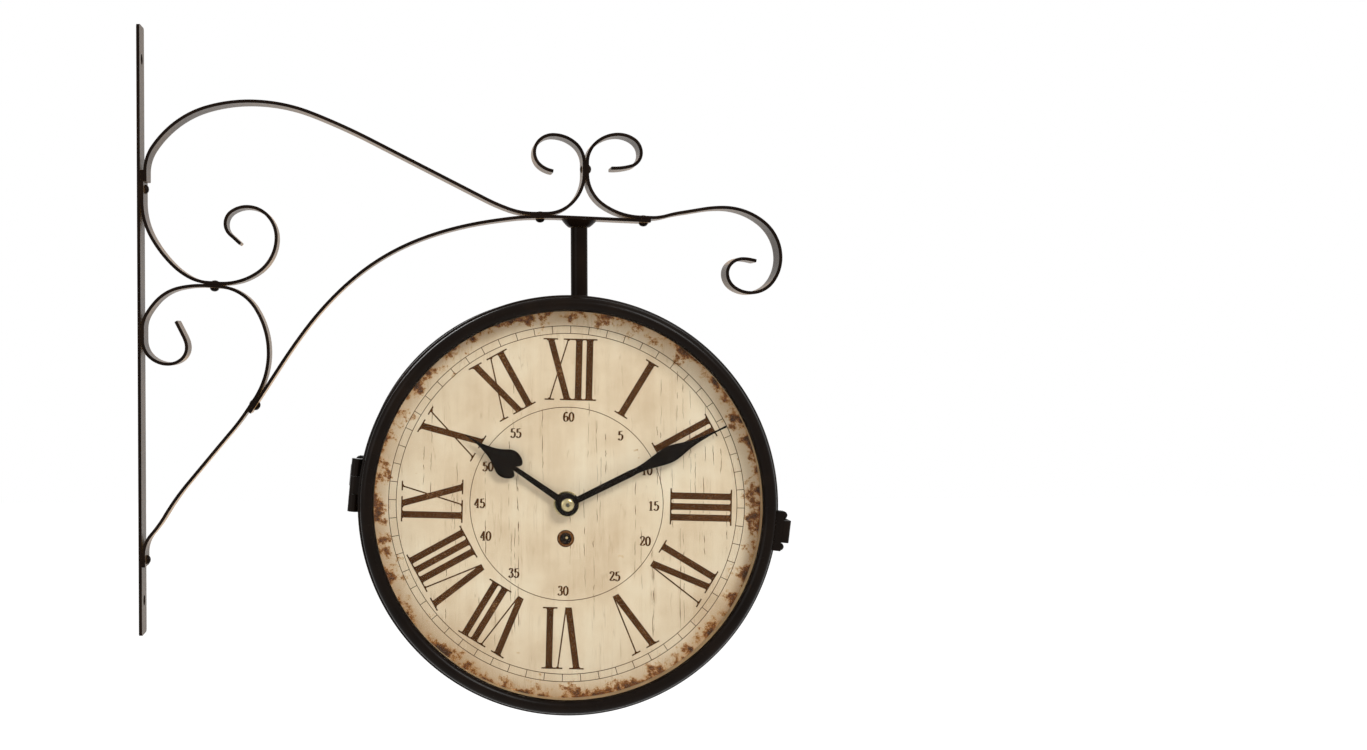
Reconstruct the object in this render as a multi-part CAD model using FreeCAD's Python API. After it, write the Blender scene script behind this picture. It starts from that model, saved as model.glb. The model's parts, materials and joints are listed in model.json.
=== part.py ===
import FreeCAD, Part
import math
import os

# Double sided wall clock: a round drum with a glazed dial door on each face, hung by a
# post from a riveted bracket of flat strip.
# Millimetres.  +X points away from the wall, +Y away from the viewer of the front dial, +Z up.
# Origin: on the wall face of the bar, at mid width and mid height of the bar.

Vec = FreeCAD.Vector

# ---- wall bar -------------------------------------------------------------------------
bar_length = 380.0
bar_width = 18.0
bar_thick = 2.0
bar_corner_r = 2.0
bar_hole_d = 6.5
bar_hole_span = 338.0

# ---- flat strip of the scrolls ----------------------------------------------------------
strip_width = 12.0
strip_thick = 2.0
strip_corner_r = 1.5

# ---- rivets of the bracket ---------------------------------------------------------------
rivet_shank_d = 3.0
rivet_head_d = 5.8
rivet_head_high = 2.2
rivet_tail_d = 4.6
rivet_tail_high = 0.9
rivet_sink_d = 5.0

# ---- shape of every snap head, as shares of its height and radius ---------------------------------
head_shoulder = 0.62
head_shoulder_r = 0.8
head_flat_r = 0.35

# ---- where the strips are riveted together: place of the contact plane and its direction ----
wall_rivet_z = 87.8
foot_rivet_z = -143.6
scroll_joint = (47.0, 27.9)
scroll_joint_deg = -4.0
brace_joint = (71.2, -46.8)
brace_joint_deg = 56.5
arm_joint = (250.5, 70.0)
arm_slope_deg = -2.8
arm_bend_x = 259.0
end_joint_x = 315.0
crest_joint = (278.4, 99.0)
joint_flat = 7.0
strip_lap = 5.5
arm_end_lap = 3.8
arm_lap_low_z = 92.3
arm_lap_high_z = 98.5
scroll_top_z = 99.4

# ---- hanging post -----------------------------------------------------------------------
post_x = 274.8
post_d = 10.5
tenon_d = 6.0
stud_d = 8.0
stud_below = 15.0
top_collar_d = 22.0
top_collar_high = 4.6
foot_collar_d = 13.6
foot_collar_high = 2.4
saddle_d = 20.0
saddle_thick = 2.0
nut_flats = 13.0
nut_high = 6.5

# ---- drum -------------------------------------------------------------------------------
drum_x = 263.1
drum_z = -106.5
drum_r = 121.6
drum_wall = 1.0
drum_half = 37.7
rim_bead = 0.9
bead_flat = 0.9
drum_roll_deg = 6.3

# ---- door: bezel, glass, dial --------------------------------------------------------------
door_gap = 0.3
bezel_lip_in = 5.4
bezel_roll_r = 4.2
bezel_wall = 1.0
bezel_bead = 1.4
roll_flats = 6
bezel_skirt = 7.8
glass_thick = 2.0
dial_depth = 9.4
dial_ring_wall = 1.0
dial_thick = 3.0
dial_edge_gap = 0.6
clip_width = 10.0
clip_thick = 0.8
clip_grip = 6.0
clip_angles = (45.0, 135.0, 225.0, 315.0)

# ---- door hinge and clasp ---------------------------------------------------------------
side_drop_deg = 0.8
hinge_barrel_d = 6.4
hinge_pin_d = 3.2
hinge_length = 32.0
hinge_knuckle_gap = 0.2
hinge_leaf_thick = 1.2
hinge_leaf_reach = 14.0
hinge_out = 2.3
hinge_rivet_span = 20.0
small_rivet_d = 2.6
small_head_d = 4.6
small_head_high = 1.3
clasp_length = 24.0
clasp_plate_wide = 6.0
clasp_plate_out = 3.0
clasp_screw_span = 19.0
clasp_screw_d = 3.0
clasp_screw_head_d = 5.0
clasp_screw_head_high = 2.2
tongue_width = 13.5
tongue_thick = 1.5
tongue_out = 4.9
tongue_reach = 20.0
tongue_lip_deep = 5.0
strike_length = 12.0
strike_wide = 7.0
strike_screw_span = 7.0
strike_screw_into = 3.5

# ---- clockwork -----------------------------------------------------------------------------
case_size = 56.0
case_deep = 16.5
case_corner_r = 4.0
bush_d = 7.8
bush_out = 3.2
washer_d = 15.6
washer_thick = 0.9
dial_nut_flats = 10.0
hour_tube_d = 5.0
hour_tube_out = 5.4
minute_shaft_d = 3.0
minute_shaft_out = 8.1
shaft_sunk = 8.0
hand_thick = 0.6
hour_hand_out = 3.8
minute_hand_out = 5.9
hand_hub_d = 13.6
cap_nut_d = 7.9
cap_nut_high = 2.5
hour_hand_length = 73.8
hour_spade_half = 8.7
minute_hand_length = 106.4
minute_leaf_half = 4.9
hour_rest_deg = 304.8
minute_rest_deg = 64.0
battery_d = 14.5
battery_length = 50.5
battery_z = -18.0
knob_z = 12.0
knob_d = 14.0
knob_high = 3.0
knob_stem_d = 4.0
knob_stem_sunk = 5.0

# ---- clearances -----------------------------------------------------------------------------
rivet_clear = 0.05
run_clear = 0.05
case_clear = 0.3
snap_clear = 0.3
thread_clear = 0.2

# ---- sizes that follow -------------------------------------------------------------------
half_strip = strip_thick / 2
door_back = drum_half + door_gap
bezel_mid_v = door_back + bezel_skirt
door_front = bezel_mid_v + bezel_roll_r
bezel_lip_r = drum_r - bezel_lip_in
bezel_roll_mid = bezel_lip_r + bezel_roll_r
bezel_skirt_r = bezel_roll_mid + bezel_roll_r
bezel_out_r = bezel_skirt_r + bezel_bead
glass_r = bezel_lip_r + 2 * bezel_wall - rivet_clear
glass_back = bezel_mid_v - glass_thick
dial_face = glass_back - dial_depth
dial_back = dial_face - dial_thick
case_back = dial_back - case_deep
hinge_r = bezel_out_r + hinge_out
hinge_v = drum_half + door_gap / 2
rim_flank = drum_half - 2 * rim_bead
bezel_bead_mid = bezel_mid_v - bezel_wall - bezel_bead


# ---- plain helpers ---------------------------------------------------------------------------
def wire_through(start, steps, place):
    """Edges from start: a step of two numbers is a line to that point, one of four numbers
    is an arc through the first pair to the second pair."""
    edges = []
    here = place(*start)
    for step in steps:
        target = place(*step[-2:])
        if len(step) == 4:
            edges.append(Part.Arc(here, place(*step[:2]), target).toShape())
        else:
            edges.append(Part.LineSegment(here, target).toShape())
        here = target
    return Part.Wire(edges)


def ring(start, steps):
    """Solid turned about the drum's axis from a closed outline of (radius, distance out)."""
    wire = wire_through(start, steps, lambda r, v: Vec(r, -v, 0))
    return Part.Face(wire).revolve(Vec(0, 0, 0), Vec(0, 1, 0), 360)


def plain_ring(inner_r, outer_r, low, high):
    """Flat ended ring or disc between two distances out."""
    disc = Part.makeCylinder(outer_r, high - low, Vec(0, -high, 0), Vec(0, 1, 0))
    if inner_r <= 0:
        return disc
    return disc.cut(Part.makeCylinder(inner_r, high - low, Vec(0, -high, 0), Vec(0, 1, 0)))


def box_between(low, high):
    size = Vec(*high) - Vec(*low)
    return Part.makeBox(size.x, size.y, size.z, Vec(*low))


def side_box(r_low, r_high, v_low, v_high, length):
    """Block on the +X side of the drum, centred on the horizontal."""
    return box_between((r_low, -v_high, -length / 2), (r_high, -v_low, length / 2))


def turned(shape, deg):
    """Turn about the drum's axis so that +X goes to deg above the horizontal."""
    done = shape.copy()
    done.rotate(Vec(0, 0, 0), Vec(0, 1, 0), -deg)
    return done


def dome(base, direction, head_d, high):
    """Snap head of a rivet or screw on a flat base: two cones that follow the dome."""
    half = head_d / 2
    shoulder = base + direction * (high * head_shoulder)
    low = Part.makeCone(half, half * head_shoulder_r, high * head_shoulder, base, direction)
    top = Part.makeCone(half * head_shoulder_r, half * head_flat_r, high * (1 - head_shoulder),
                        shoulder, direction)
    return low.fuse(top)


def rivet(base, direction, grip, shank_d, head, tail):
    """Shank from base back through grip, with a domed head and a tail as (diameter, height)."""
    shank = Part.makeCylinder(shank_d / 2, grip, base - direction * grip, direction)
    solid = shank.fuse(dome(base, direction, *head))
    if tail:
        solid = solid.fuse(dome(base - direction * grip, direction * -1, *tail))
    return solid.removeSplitter()


def hexagon(centre, direction, flats, high, hole_d, turn_deg=0.0):
    """Hexagonal nut, along direction from centre."""
    corner = flats / math.sqrt(3)
    points = []
    for i in range(7):
        angle = math.radians(60 * i + turn_deg)
        points.append(Vec(corner * math.cos(angle), corner * math.sin(angle), 0))
    nut = Part.Face(Part.makePolygon(points)).extrude(Vec(0, 0, high))
    nut = nut.cut(Part.makeCylinder(hole_d / 2, high))
    nut.Placement = FreeCAD.Placement(centre, FreeCAD.Rotation(Vec(0, 0, 1), direction))
    return nut


# ---- bent strip: a line of stations (x, z, heading) joined by pairs of tangent arcs ---------------
def heading(deg):
    return Vec(math.cos(math.radians(deg)), 0, math.sin(math.radians(deg)))


def left_of(direction):
    return Vec(-direction.z, 0, direction.x)


def arc_from(start, direction, end):
    """The arc or line that leaves start along direction and reaches end."""
    chord = end - start
    side = left_of(direction)
    lean = chord.dot(side)
    if abs(lean) < 1e-6 * chord.Length:
        return ("line", start, end, direction, direction)
    radius = chord.dot(chord) / (2 * lean)
    centre = start + side * radius
    way_out = left_of(end - centre) * (1.0 if radius > 0 else -1.0)
    way_out.normalize()
    return ("arc", start, end, direction, way_out, centre, radius)


def tangent_pair(start, start_way, end, end_way):
    """Two arcs that leave start and reach end in the given directions, with equal reach."""
    chord = end - start
    both = start_way + end_way
    spread = 2 * (1 - start_way.dot(end_way))
    along = chord.dot(both)
    if spread < 1e-9:
        reach = chord.dot(chord) / (2 * along)
    else:
        reach = (math.sqrt(along * along + spread * chord.dot(chord)) - along) / spread
    middle = (start + end + (start_way - end_way) * reach) * 0.5
    first = arc_from(start, start_way, middle)
    return [first, arc_from(middle, first[4], end)]


def strip_edge(piece, shift):
    """One edge of the strip's side view, shift to the left of the centre line."""
    start = piece[1] + left_of(piece[3]) * shift
    end = piece[2] + left_of(piece[4]) * shift
    if piece[0] == "line":
        return Part.LineSegment(start, end).toShape()
    centre, radius = piece[5], piece[6]
    halfway = (piece[1] - centre) + (piece[2] - centre)
    halfway.normalize()
    middle = centre + halfway * (abs(radius) - shift * (1.0 if radius > 0 else -1.0))
    return Part.Arc(start, middle, end).toShape()


def bent_strip(stations):
    """Flat strip on edge, bent along the stations, with eased corners at both ends."""
    pieces = []
    for (x0, z0, deg0), (x1, z1, deg1) in zip(stations, stations[1:]):
        pieces += tangent_pair(Vec(x0, 0, z0), heading(deg0), Vec(x1, 0, z1), heading(deg1))
    lefts = [strip_edge(piece, half_strip) for piece in pieces]
    rights = [strip_edge(piece, -half_strip) for piece in pieces]
    first, last = pieces[0], pieces[-1]
    cap_start = Part.LineSegment(first[1] - left_of(first[3]) * half_strip,
                                 first[1] + left_of(first[3]) * half_strip).toShape()
    cap_end = Part.LineSegment(last[2] + left_of(last[4]) * half_strip,
                               last[2] - left_of(last[4]) * half_strip).toShape()
    outline = Part.Wire([cap_start] + lefts + [cap_end] + rights[::-1])
    face = Part.Face(outline)
    face.translate(Vec(0, -strip_width / 2, 0))
    strip = face.extrude(Vec(0, strip_width, 0))
    ends = (first[1], last[2])
    corners = []
    for edge in strip.Edges:
        middle = (edge.BoundBox.Center.x, edge.BoundBox.Center.z)
        near = min(math.hypot(middle[0] - end.x, middle[1] - end.z) for end in ends)
        if abs(edge.Length - strip_thick) < 1e-6 and near < 1e-3:
            corners.append(edge)
    return strip.makeFillet(strip_corner_r, corners)


def joint_sides(joint, deg):
    """Centre line points just above and below a riveted contact plane, and its direction."""
    up = left_of(heading(deg))
    here = Vec(joint[0], 0, joint[1])
    return here + up * half_strip, here - up * half_strip, heading(deg)


def flat_at(centre, way, deg, reversed_way=False):
    """Two stations that keep the strip straight over a riveted joint."""
    start = centre - way * (joint_flat / 2)
    end = centre + way * (joint_flat / 2)
    if reversed_way:
        return [(end.x, end.z, deg + 180), (start.x, start.z, deg + 180)]
    return [(start.x, start.z, deg), (end.x, end.z, deg)]


scroll_over, scroll_under, scroll_way = joint_sides(scroll_joint, scroll_joint_deg)
brace_over, brace_under, brace_way = joint_sides(brace_joint, brace_joint_deg)
arm_over, arm_under, arm_way = joint_sides(arm_joint, 0.0)
slope_way = heading(arm_slope_deg)
slope_start = Vec(arm_bend_x + 2, 0, arm_under.z - 0.1)


def arm_z(x):
    """Height of the lower arm's centre line on its straight, sloping outer run."""
    return slope_start.z + (x - slope_start.x) * math.tan(math.radians(arm_slope_deg))


end_under = Vec(end_joint_x, 0, arm_z(end_joint_x))
end_over = end_under + left_of(slope_way) * strip_thick
layer_one_x = bar_thick + half_strip
layer_two_x = layer_one_x + strip_thick
crest_left_x = crest_joint[0] - half_strip
crest_right_x = crest_joint[0] + half_strip
crest_top_z = crest_joint[1] + joint_flat / 2
crest_low_z = crest_joint[1] - joint_flat / 2


def upper_arm():
    """Crest curl, riveted to the arm, then the long sweep up, over and down to the wall,
    where its end lies brazed on the flat top of the wall scroll."""
    stations = [(258.4, 97.3, 172), (246.6, 109.0, 90), (258.0, 119.8, 0)]
    stations += [(crest_left_x, crest_top_z, 270), (crest_left_x, crest_low_z, 270)]
    stations += flat_at(arm_over, arm_way, 0, reversed_way=True)
    stations += [(216.0, 80.4, 152.5), (146.0, 116.8, 152.5), (69.0, 141.5, 180)]
    stations += [(20.5, 125.6, 221), (layer_two_x, arm_lap_high_z, 270)]
    stations += [(layer_two_x, arm_lap_low_z, 270)]
    return bent_strip(stations)


def wall_scroll():
    """From the wall rivet down, under and round into the upper curl."""
    stations = [(layer_one_x, scroll_top_z, 270), (layer_one_x, wall_rivet_z - 8, 270)]
    stations += [(22.5, 39.5, 316)]
    stations += flat_at(scroll_over, scroll_way, scroll_joint_deg)
    stations += [(86.2, 57.0, 90), (68.0, 76.1, 180), (54.6, 65.6, 270), (63.9, 53.0, 316)]
    return bent_strip(stations)


def lower_scroll():
    """Inner curl against the bar, over the top, down past the brace to the wall foot."""
    stations = [(23.6, 5.3, 297), (28.2, -3.8, 297), (30.3, -11.2, 270), (18.8, -21.4, 180)]
    stations += [(layer_one_x, -6.5, 90), (layer_one_x, 0.5, 90), (11.5, 17.7, 47)]
    stations += flat_at(scroll_under, scroll_way, scroll_joint_deg)
    stations += [(81.0, -14.5, 270)]
    stations += flat_at(brace_over, brace_way, brace_joint_deg, reversed_way=True)
    stations += [(46.0, -77.2, 230), (16.4, -115.4, 239)]
    stations += [(layer_one_x, foot_rivet_z + 3.6, 270), (layer_one_x, foot_rivet_z - 4, 270)]
    return bent_strip(stations)


def lower_arm():
    """Brace from the lower scroll up to the straight run that carries post and end scroll."""
    tip = brace_under - brace_way * strip_lap
    outer = end_under + slope_way * arm_end_lap
    stations = [(tip.x, tip.z, brace_joint_deg)]
    stations += flat_at(brace_under, brace_way, brace_joint_deg)[1:]
    stations += [(103.5, -1.0, 53), (139.1, 35.3, 37.5), (176.0, 55.6, 20.5)]
    stations += [(217.6, 66.2, 8.5)]
    stations += flat_at(arm_under, arm_way, 0)
    stations += [(slope_start.x, slope_start.z, arm_slope_deg), (outer.x, outer.z, arm_slope_deg)]
    return bent_strip(stations)


def end_scroll():
    """Crest curl to the right, down to the arm's end and out into the hanging curl."""
    stations = [(294.2, 98.9, -4), (312.8, 108.2, 90), (298.5, 119.8, 180)]
    stations += [(crest_right_x, crest_top_z, 270), (crest_right_x, crest_low_z, 270)]
    stations += flat_at(end_over, slope_way, arm_slope_deg)
    stations += [(338.0, 71.2, 8.5), (363.0, 74.2, 0), (399.0, 43.0, 270), (380.5, 21.2, 180)]
    stations += [(365.9, 33.4, 90), (375.5, 42.3, 0), (384.1, 40.9, -14)]
    return bent_strip(stations)


def rivet_hole(base, way, grip):
    radius = rivet_shank_d / 2 + rivet_clear
    return Part.makeCylinder(radius, grip + 2, base - way * (grip + 1), way)


def scroll_rivet_places():
    """Head base, direction of the head and grip of each rivet between two strips."""
    lap = 2 * strip_thick
    over = {"scroll": (scroll_under, scroll_way), "brace": (brace_under, brace_way)}
    over["arm"] = (arm_under, arm_way)
    over["end"] = (end_under, slope_way)
    places = []
    for centre, way in over.values():
        down = left_of(way) * -1
        places.append((centre + down * half_strip, down, lap))
    crest_base = Vec(crest_joint[0] + strip_thick, 0, crest_joint[1])
    places.append((crest_base, Vec(1, 0, 0), lap))
    return places


def wall_rivet_places():
    """Heads outside, countersunk flush with the wall face of the bar behind."""
    grip = bar_thick + strip_thick
    return [(Vec(grip, 0, z), Vec(1, 0, 0), grip) for z in (wall_rivet_z, foot_rivet_z)]


def countersink(z):
    """Cone at the wall face that the flush tail of a wall rivet fills."""
    deep = (rivet_sink_d - rivet_shank_d) / 2
    return Part.makeCone(rivet_sink_d / 2, rivet_shank_d / 2, deep, Vec(0, 0, z), Vec(1, 0, 0))


def wall_bar():
    bar = box_between((0, -bar_width / 2, -bar_length / 2), (bar_thick, bar_width / 2, bar_length / 2))
    corners = [edge for edge in bar.Edges if abs(edge.Length - bar_thick) < 1e-6]
    bar = bar.makeFillet(bar_corner_r, corners)
    for side in (-1, 1):
        middle = Vec(-1, 0, side * bar_hole_span / 2)
        bar = bar.cut(Part.makeCylinder(bar_hole_d / 2, bar_thick + 2, middle, Vec(1, 0, 0)))
    for base, way, grip in wall_rivet_places():
        bar = bar.cut(rivet_hole(base, way, grip))
        bar = bar.cut(countersink(base.z))
    return bar


def wall_rivets():
    rivets = []
    for base, way, grip in wall_rivet_places():
        one = rivet(base, way, grip, rivet_shank_d, (rivet_head_d, rivet_head_high), None)
        rivets.append(one.fuse(countersink(base.z)).removeSplitter())
    return Part.makeCompound(rivets)


def scroll_rivets():
    head = (rivet_head_d, rivet_head_high)
    tail = (rivet_tail_d, rivet_tail_high)
    made = [rivet(*place, rivet_shank_d, head, tail) for place in scroll_rivet_places()]
    return Part.makeCompound(made)


def drilled(strip):
    """Rivet holes, and the hole for the post's tenon, where they cross this strip."""
    for base, way, grip in scroll_rivet_places() + wall_rivet_places():
        hole = rivet_hole(base, way, grip)
        if strip.distToShape(hole)[0] < 1e-6:
            strip = strip.cut(hole)
    return strip


# ---- hanging post -------------------------------------------------------------------------------
arm_under_z = arm_z(post_x) - half_strip / math.cos(math.radians(arm_slope_deg))
drum_top_z = drum_z + math.sqrt(drum_r ** 2 - (post_x - drum_x) ** 2)


def above_arm(height):
    """Everything above the lower arm's underside, or above its top face, near the post."""
    block = box_between((-40, -40, 0), (40, 40, 40))
    block.rotate(Vec(0, 0, 0), Vec(0, 1, 0), -arm_slope_deg)
    block.translate(Vec(post_x, 0, height))
    return block


def drum_cylinder(radius):
    cylinder = Part.makeCylinder(radius, 4 * drum_half, Vec(0, -2 * drum_half, 0), Vec(0, 1, 0))
    cylinder.translate(Vec(drum_x, 0, drum_z))
    return cylinder


def upright(radius, low, high):
    return Part.makeCylinder(radius, high - low, Vec(post_x, 0, low))


def hanger_post():
    top = arm_under_z + strip_thick + 2
    rod = upright(post_d / 2, drum_top_z - 2, top).cut(above_arm(arm_under_z)).cut(drum_cylinder(drum_r))
    tenon = upright(tenon_d / 2, drum_top_z + 2, top + 2)
    over = above_arm(arm_under_z + strip_thick / math.cos(math.radians(arm_slope_deg)))
    stud = upright(stud_d / 2, drum_top_z - stud_below, drum_top_z + 2)
    return rod.fuse([tenon.cut(over), stud]).removeSplitter()


def post_top_collar():
    """Bell shaped collar that widens up to the arm."""
    half = post_d / 2 + rivet_clear
    low = arm_under_z - top_collar_high
    wide = top_collar_d / 2
    steps = [(post_d / 2 + 1.2, 0), (wide - 2.6, 1.8), (wide, top_collar_high)]
    steps += [(wide, top_collar_high + 2), (half, top_collar_high + 2), (half, 0)]
    wire = wire_through((half, 0), steps, lambda r, z: Vec(post_x + r, 0, low + z))
    collar = Part.Face(wire).revolve(Vec(post_x, 0, 0), Vec(0, 0, 1), 360)
    return collar.cut(above_arm(arm_under_z))


def post_foot_collar():
    """Low cone on the drum's top, bedded to its curve."""
    top = drum_top_z + foot_collar_high
    wide = foot_collar_d / 2
    cone = Part.makeCone(wide, post_d / 2 + 0.4, foot_collar_high, Vec(post_x, 0, drum_top_z))
    cone = cone.fuse(upright(wide, drum_top_z - 2, drum_top_z))
    cone = cone.cut(upright(post_d / 2 + rivet_clear, drum_top_z - 3, top + 1))
    return cone.cut(drum_cylinder(drum_r)).removeSplitter()


def post_washer():
    """Saddle washer inside the drum, curved above and flat below for the nut."""
    inner_r = drum_r - drum_wall
    seat = drum_z + math.sqrt(inner_r ** 2 - (abs(post_x - drum_x) + saddle_d / 2) ** 2)
    low = seat - saddle_thick
    disc = upright(saddle_d / 2, low, drum_top_z).common(drum_cylinder(inner_r))
    return disc.cut(upright(stud_d / 2 + rivet_clear, low - 1, drum_top_z)), low


def post_nut():
    low = post_washer()[1]
    hole_d = stud_d + 2 * rivet_clear
    return hexagon(Vec(post_x, 0, low - nut_high), Vec(0, 0, 1), nut_flats, nut_high, hole_d)


# ---- drum ---------------------------------------------------------------------------------------
def bead_steps(foot_r, mid, high):
    """Outline of a raised bead with a narrow flat crest, from its low side to its high side."""
    crest = foot_r + high
    return [(foot_r, mid - high), (crest, mid - high + bead_flat / 2),
            (crest, mid + high - bead_flat / 2), (foot_r, mid + high)]


def drum_shell():
    """Rolled sheet wall with a bead at each rim, in the drum's own frame."""
    inner = drum_r - drum_wall
    bead = bead_steps(drum_r, drum_half - rim_bead, rim_bead)
    steps = bead[::-1] + [(r, -v) for r, v in bead]
    steps += [(inner, -drum_half), (inner, drum_half)]
    return turned(ring((inner, drum_half), steps), -90)


def hinge_rivet_places(side):
    """Angle and distance out of the two rivets of a hinge leaf."""
    step = math.degrees(hinge_rivet_span / 2 / drum_r)
    row = rim_flank - hinge_leaf_reach / 2
    return [(side_angles(side)[0] + end * step, row) for end in (-1, 1)]


def strike_screw_places(side):
    """Angle and distance out of the two screws of a strike."""
    step = math.degrees(strike_screw_span / 2 / drum_r)
    return [(side_angles(side)[1] + end * step, strike_middle()) for end in (-1, 1)]


def side_angles(side):
    """Angles of hinge and clasp on the drum, seen from that side's own dial."""
    roll = -drum_roll_deg if side == "front" else drum_roll_deg
    return 180 + side_drop_deg + roll, -side_drop_deg + roll


def at_side(shape, side):
    """Move a shape from the drum's own frame, front facing, to its place on the clock."""
    done = shape.copy()
    if side == "rear":
        done.rotate(Vec(0, 0, 0), Vec(0, 0, 1), 180)
    done.translate(Vec(drum_x, 0, drum_z))
    return done


def wall_hole(place, outer_r):
    """Radial hole through the drum wall and on out to outer_r."""
    deg, out = place
    inner_r = drum_r - 2 * drum_wall
    radius = small_rivet_d / 2 + rivet_clear
    hole = Part.makeCylinder(radius, outer_r - inner_r, Vec(inner_r, -out, 0), Vec(1, 0, 0))
    return turned(hole, deg)


def drum_drilled():
    shell = at_side(drum_shell(), "front")
    for side in ("front", "rear"):
        for place in hinge_rivet_places(side) + strike_screw_places(side):
            shell = shell.cut(at_side(wall_hole(place, drum_r + 1), side))
    post_hole = upright(stud_d / 2 + rivet_clear, drum_top_z - 10, drum_top_z + 10)
    return shell.cut(post_hole)


# ---- door -----------------------------------------------------------------------------------------
def roll_steps(radius):
    """Half round about the middle of the roll, in flats, from the skirt side to the lip side."""
    steps = []
    for i in range(roll_flats + 1):
        angle = math.pi * i / roll_flats
        steps.append((bezel_roll_mid + radius * math.cos(angle), bezel_mid_v + radius * math.sin(angle)))
    return steps


def bezel_outside():
    """Skirt, bead and roll, from the back edge of the skirt to the lip."""
    bead = bead_steps(bezel_skirt_r, bezel_bead_mid, bezel_bead)
    return [(bezel_skirt_r, door_back)] + bead + roll_steps(bezel_roll_r)


def bezel_envelope():
    """Bezel as if solid: what the hinge leaf and the clasp plate are fitted against."""
    return ring((bezel_lip_r, door_back), bezel_outside() + [(bezel_lip_r, door_back)])


def bezel():
    """Pressed ring: half round roll, bead and skirt, hollow behind."""
    inside_r = bezel_skirt_r - bezel_wall
    hollow = roll_steps(bezel_roll_r - bezel_wall)[::-2]
    steps = bezel_outside() + hollow + [(inside_r, door_back)]
    return ring((inside_r, door_back), steps)


def dial_clips():
    """Bent clips that hold dial, dial ring and glass up against the bezel's lip."""
    leg_in = glass_r + rivet_clear
    leg_out = leg_in + clip_thick
    wall = bezel_skirt_r - bezel_wall
    shelf = door_back + 1.0
    foot_top = shelf + 4.0
    grip_r = glass_r - clip_grip
    points = [(wall, foot_top), (wall, shelf), (leg_out, shelf), (leg_out, dial_back - clip_thick)]
    points += [(grip_r, dial_back - clip_thick), (grip_r, dial_back), (leg_in, dial_back)]
    points += [(leg_in, shelf + clip_thick), (wall - clip_thick, shelf + clip_thick)]
    points += [(wall - clip_thick, foot_top), (wall, foot_top)]
    wire = wire_through(points[0], points[1:], lambda r, v: Vec(r, -v, -clip_width / 2))
    one = Part.Face(wire).extrude(Vec(0, 0, clip_width))
    fitted = one.common(plain_ring(0, wall, dial_back - 2, foot_top + 1))
    return Part.makeCompound([turned(fitted, deg) for deg in clip_angles])


def dial():
    """Round board with the bush hole."""
    return plain_ring(bush_d / 2 + thread_clear, glass_r - dial_edge_gap, dial_back, dial_face)


# ---- hinge: outer knuckles on the drum leaf, the middle one on the door leaf --------------------------
knuckle = (hinge_length - 2 * hinge_knuckle_gap) / 3
knuckle_mid = knuckle + hinge_knuckle_gap


def barrel(length, offset, bore_d):
    start = Vec(hinge_r, -hinge_v, offset - length / 2)
    tube = Part.makeCylinder(hinge_barrel_d / 2, length, start)
    return tube.cut(Part.makeCylinder(bore_d / 2, length, start))


def hinge_drum_leaf(side):
    """Curved leaf on the drum wall, a shelf out to the barrel and the two outer knuckles."""
    low_v = rim_flank - hinge_leaf_reach
    shelf_v = hinge_v - hinge_barrel_d / 2
    shelf_top = shelf_v + hinge_leaf_thick
    plate = plain_ring(drum_r, drum_r + hinge_leaf_thick, low_v, rim_flank)
    plate = plate.common(side_box(0, hinge_r, low_v - 1, rim_flank + 1, hinge_length))
    leaf = plate
    bore = Part.makeCylinder(hinge_pin_d / 2, hinge_length, Vec(hinge_r, -hinge_v, -hinge_length / 2))
    for end in (-1, 1):
        shelf = box_between((drum_r - 8, -shelf_top, 0), (hinge_r, -shelf_v, knuckle))
        shelf.translate(Vec(0, 0, end * knuckle_mid - knuckle / 2))
        shelf = shelf.cut(plain_ring(0, drum_r, shelf_v - 1, rim_flank))
        shelf = shelf.cut(plain_ring(0, drum_r + rim_bead, rim_flank, drum_half))
        leaf = leaf.fuse(shelf.cut(bore)).fuse(barrel(knuckle, end * knuckle_mid, hinge_pin_d))
    leaf = turned(leaf.removeSplitter(), side_angles(side)[0])
    for place in hinge_rivet_places(side):
        leaf = leaf.cut(wall_hole(place, hinge_r))
    return leaf


def hinge_door_leaf(side):
    """Middle knuckle with a short leaf that is brazed to the bezel's skirt."""
    top_v = hinge_v + hinge_barrel_d / 2
    low_v = top_v - hinge_leaf_thick
    arm = side_box(bezel_skirt_r - 6, hinge_r, low_v, top_v, knuckle)
    flange = side_box(bezel_skirt_r - 6, bezel_skirt_r + hinge_leaf_thick, door_back + 0.5, top_v, knuckle)
    body = arm.fuse(flange).cut(bezel_envelope())
    body = body.common(side_box(bezel_skirt_r - 0.5, hinge_r, door_back, top_v, knuckle))
    bore_d = hinge_pin_d + 2 * run_clear
    bore = Part.makeCylinder(bore_d / 2, hinge_length, Vec(hinge_r, -hinge_v, -hinge_length / 2))
    body = body.cut(bore).fuse(barrel(knuckle, 0, bore_d))
    return turned(body.removeSplitter(), side_angles(side)[0])


def hinge_pin(side):
    pin = Part.makeCylinder(hinge_pin_d / 2, hinge_length, Vec(hinge_r, -hinge_v, -hinge_length / 2))
    return turned(pin, side_angles(side)[0])


def wall_fastener(place, outer_r, outer_head):
    """Radial rivet or screw through the drum wall, with a low head inside the drum."""
    deg, out = place
    bed = small_head_d ** 2 / (8 * (drum_r - drum_wall))
    inner_base = drum_r - drum_wall - bed
    grip = outer_r - inner_base
    made = rivet(Vec(inner_base, -out, 0), Vec(-1, 0, 0), grip, small_rivet_d,
                 (small_head_d, small_head_high * 0.8), outer_head)
    return turned(made, deg)


def hinge_rivets():
    """All rivets of both drum leaves, domed outside."""
    head = (small_head_d, small_head_high)
    leaf_r = drum_r + hinge_leaf_thick
    made = []
    for side in ("front", "rear"):
        for place in hinge_rivet_places(side):
            made.append(at_side(wall_fastener(place, leaf_r, head), side))
    return Part.makeCompound(made)


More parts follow.
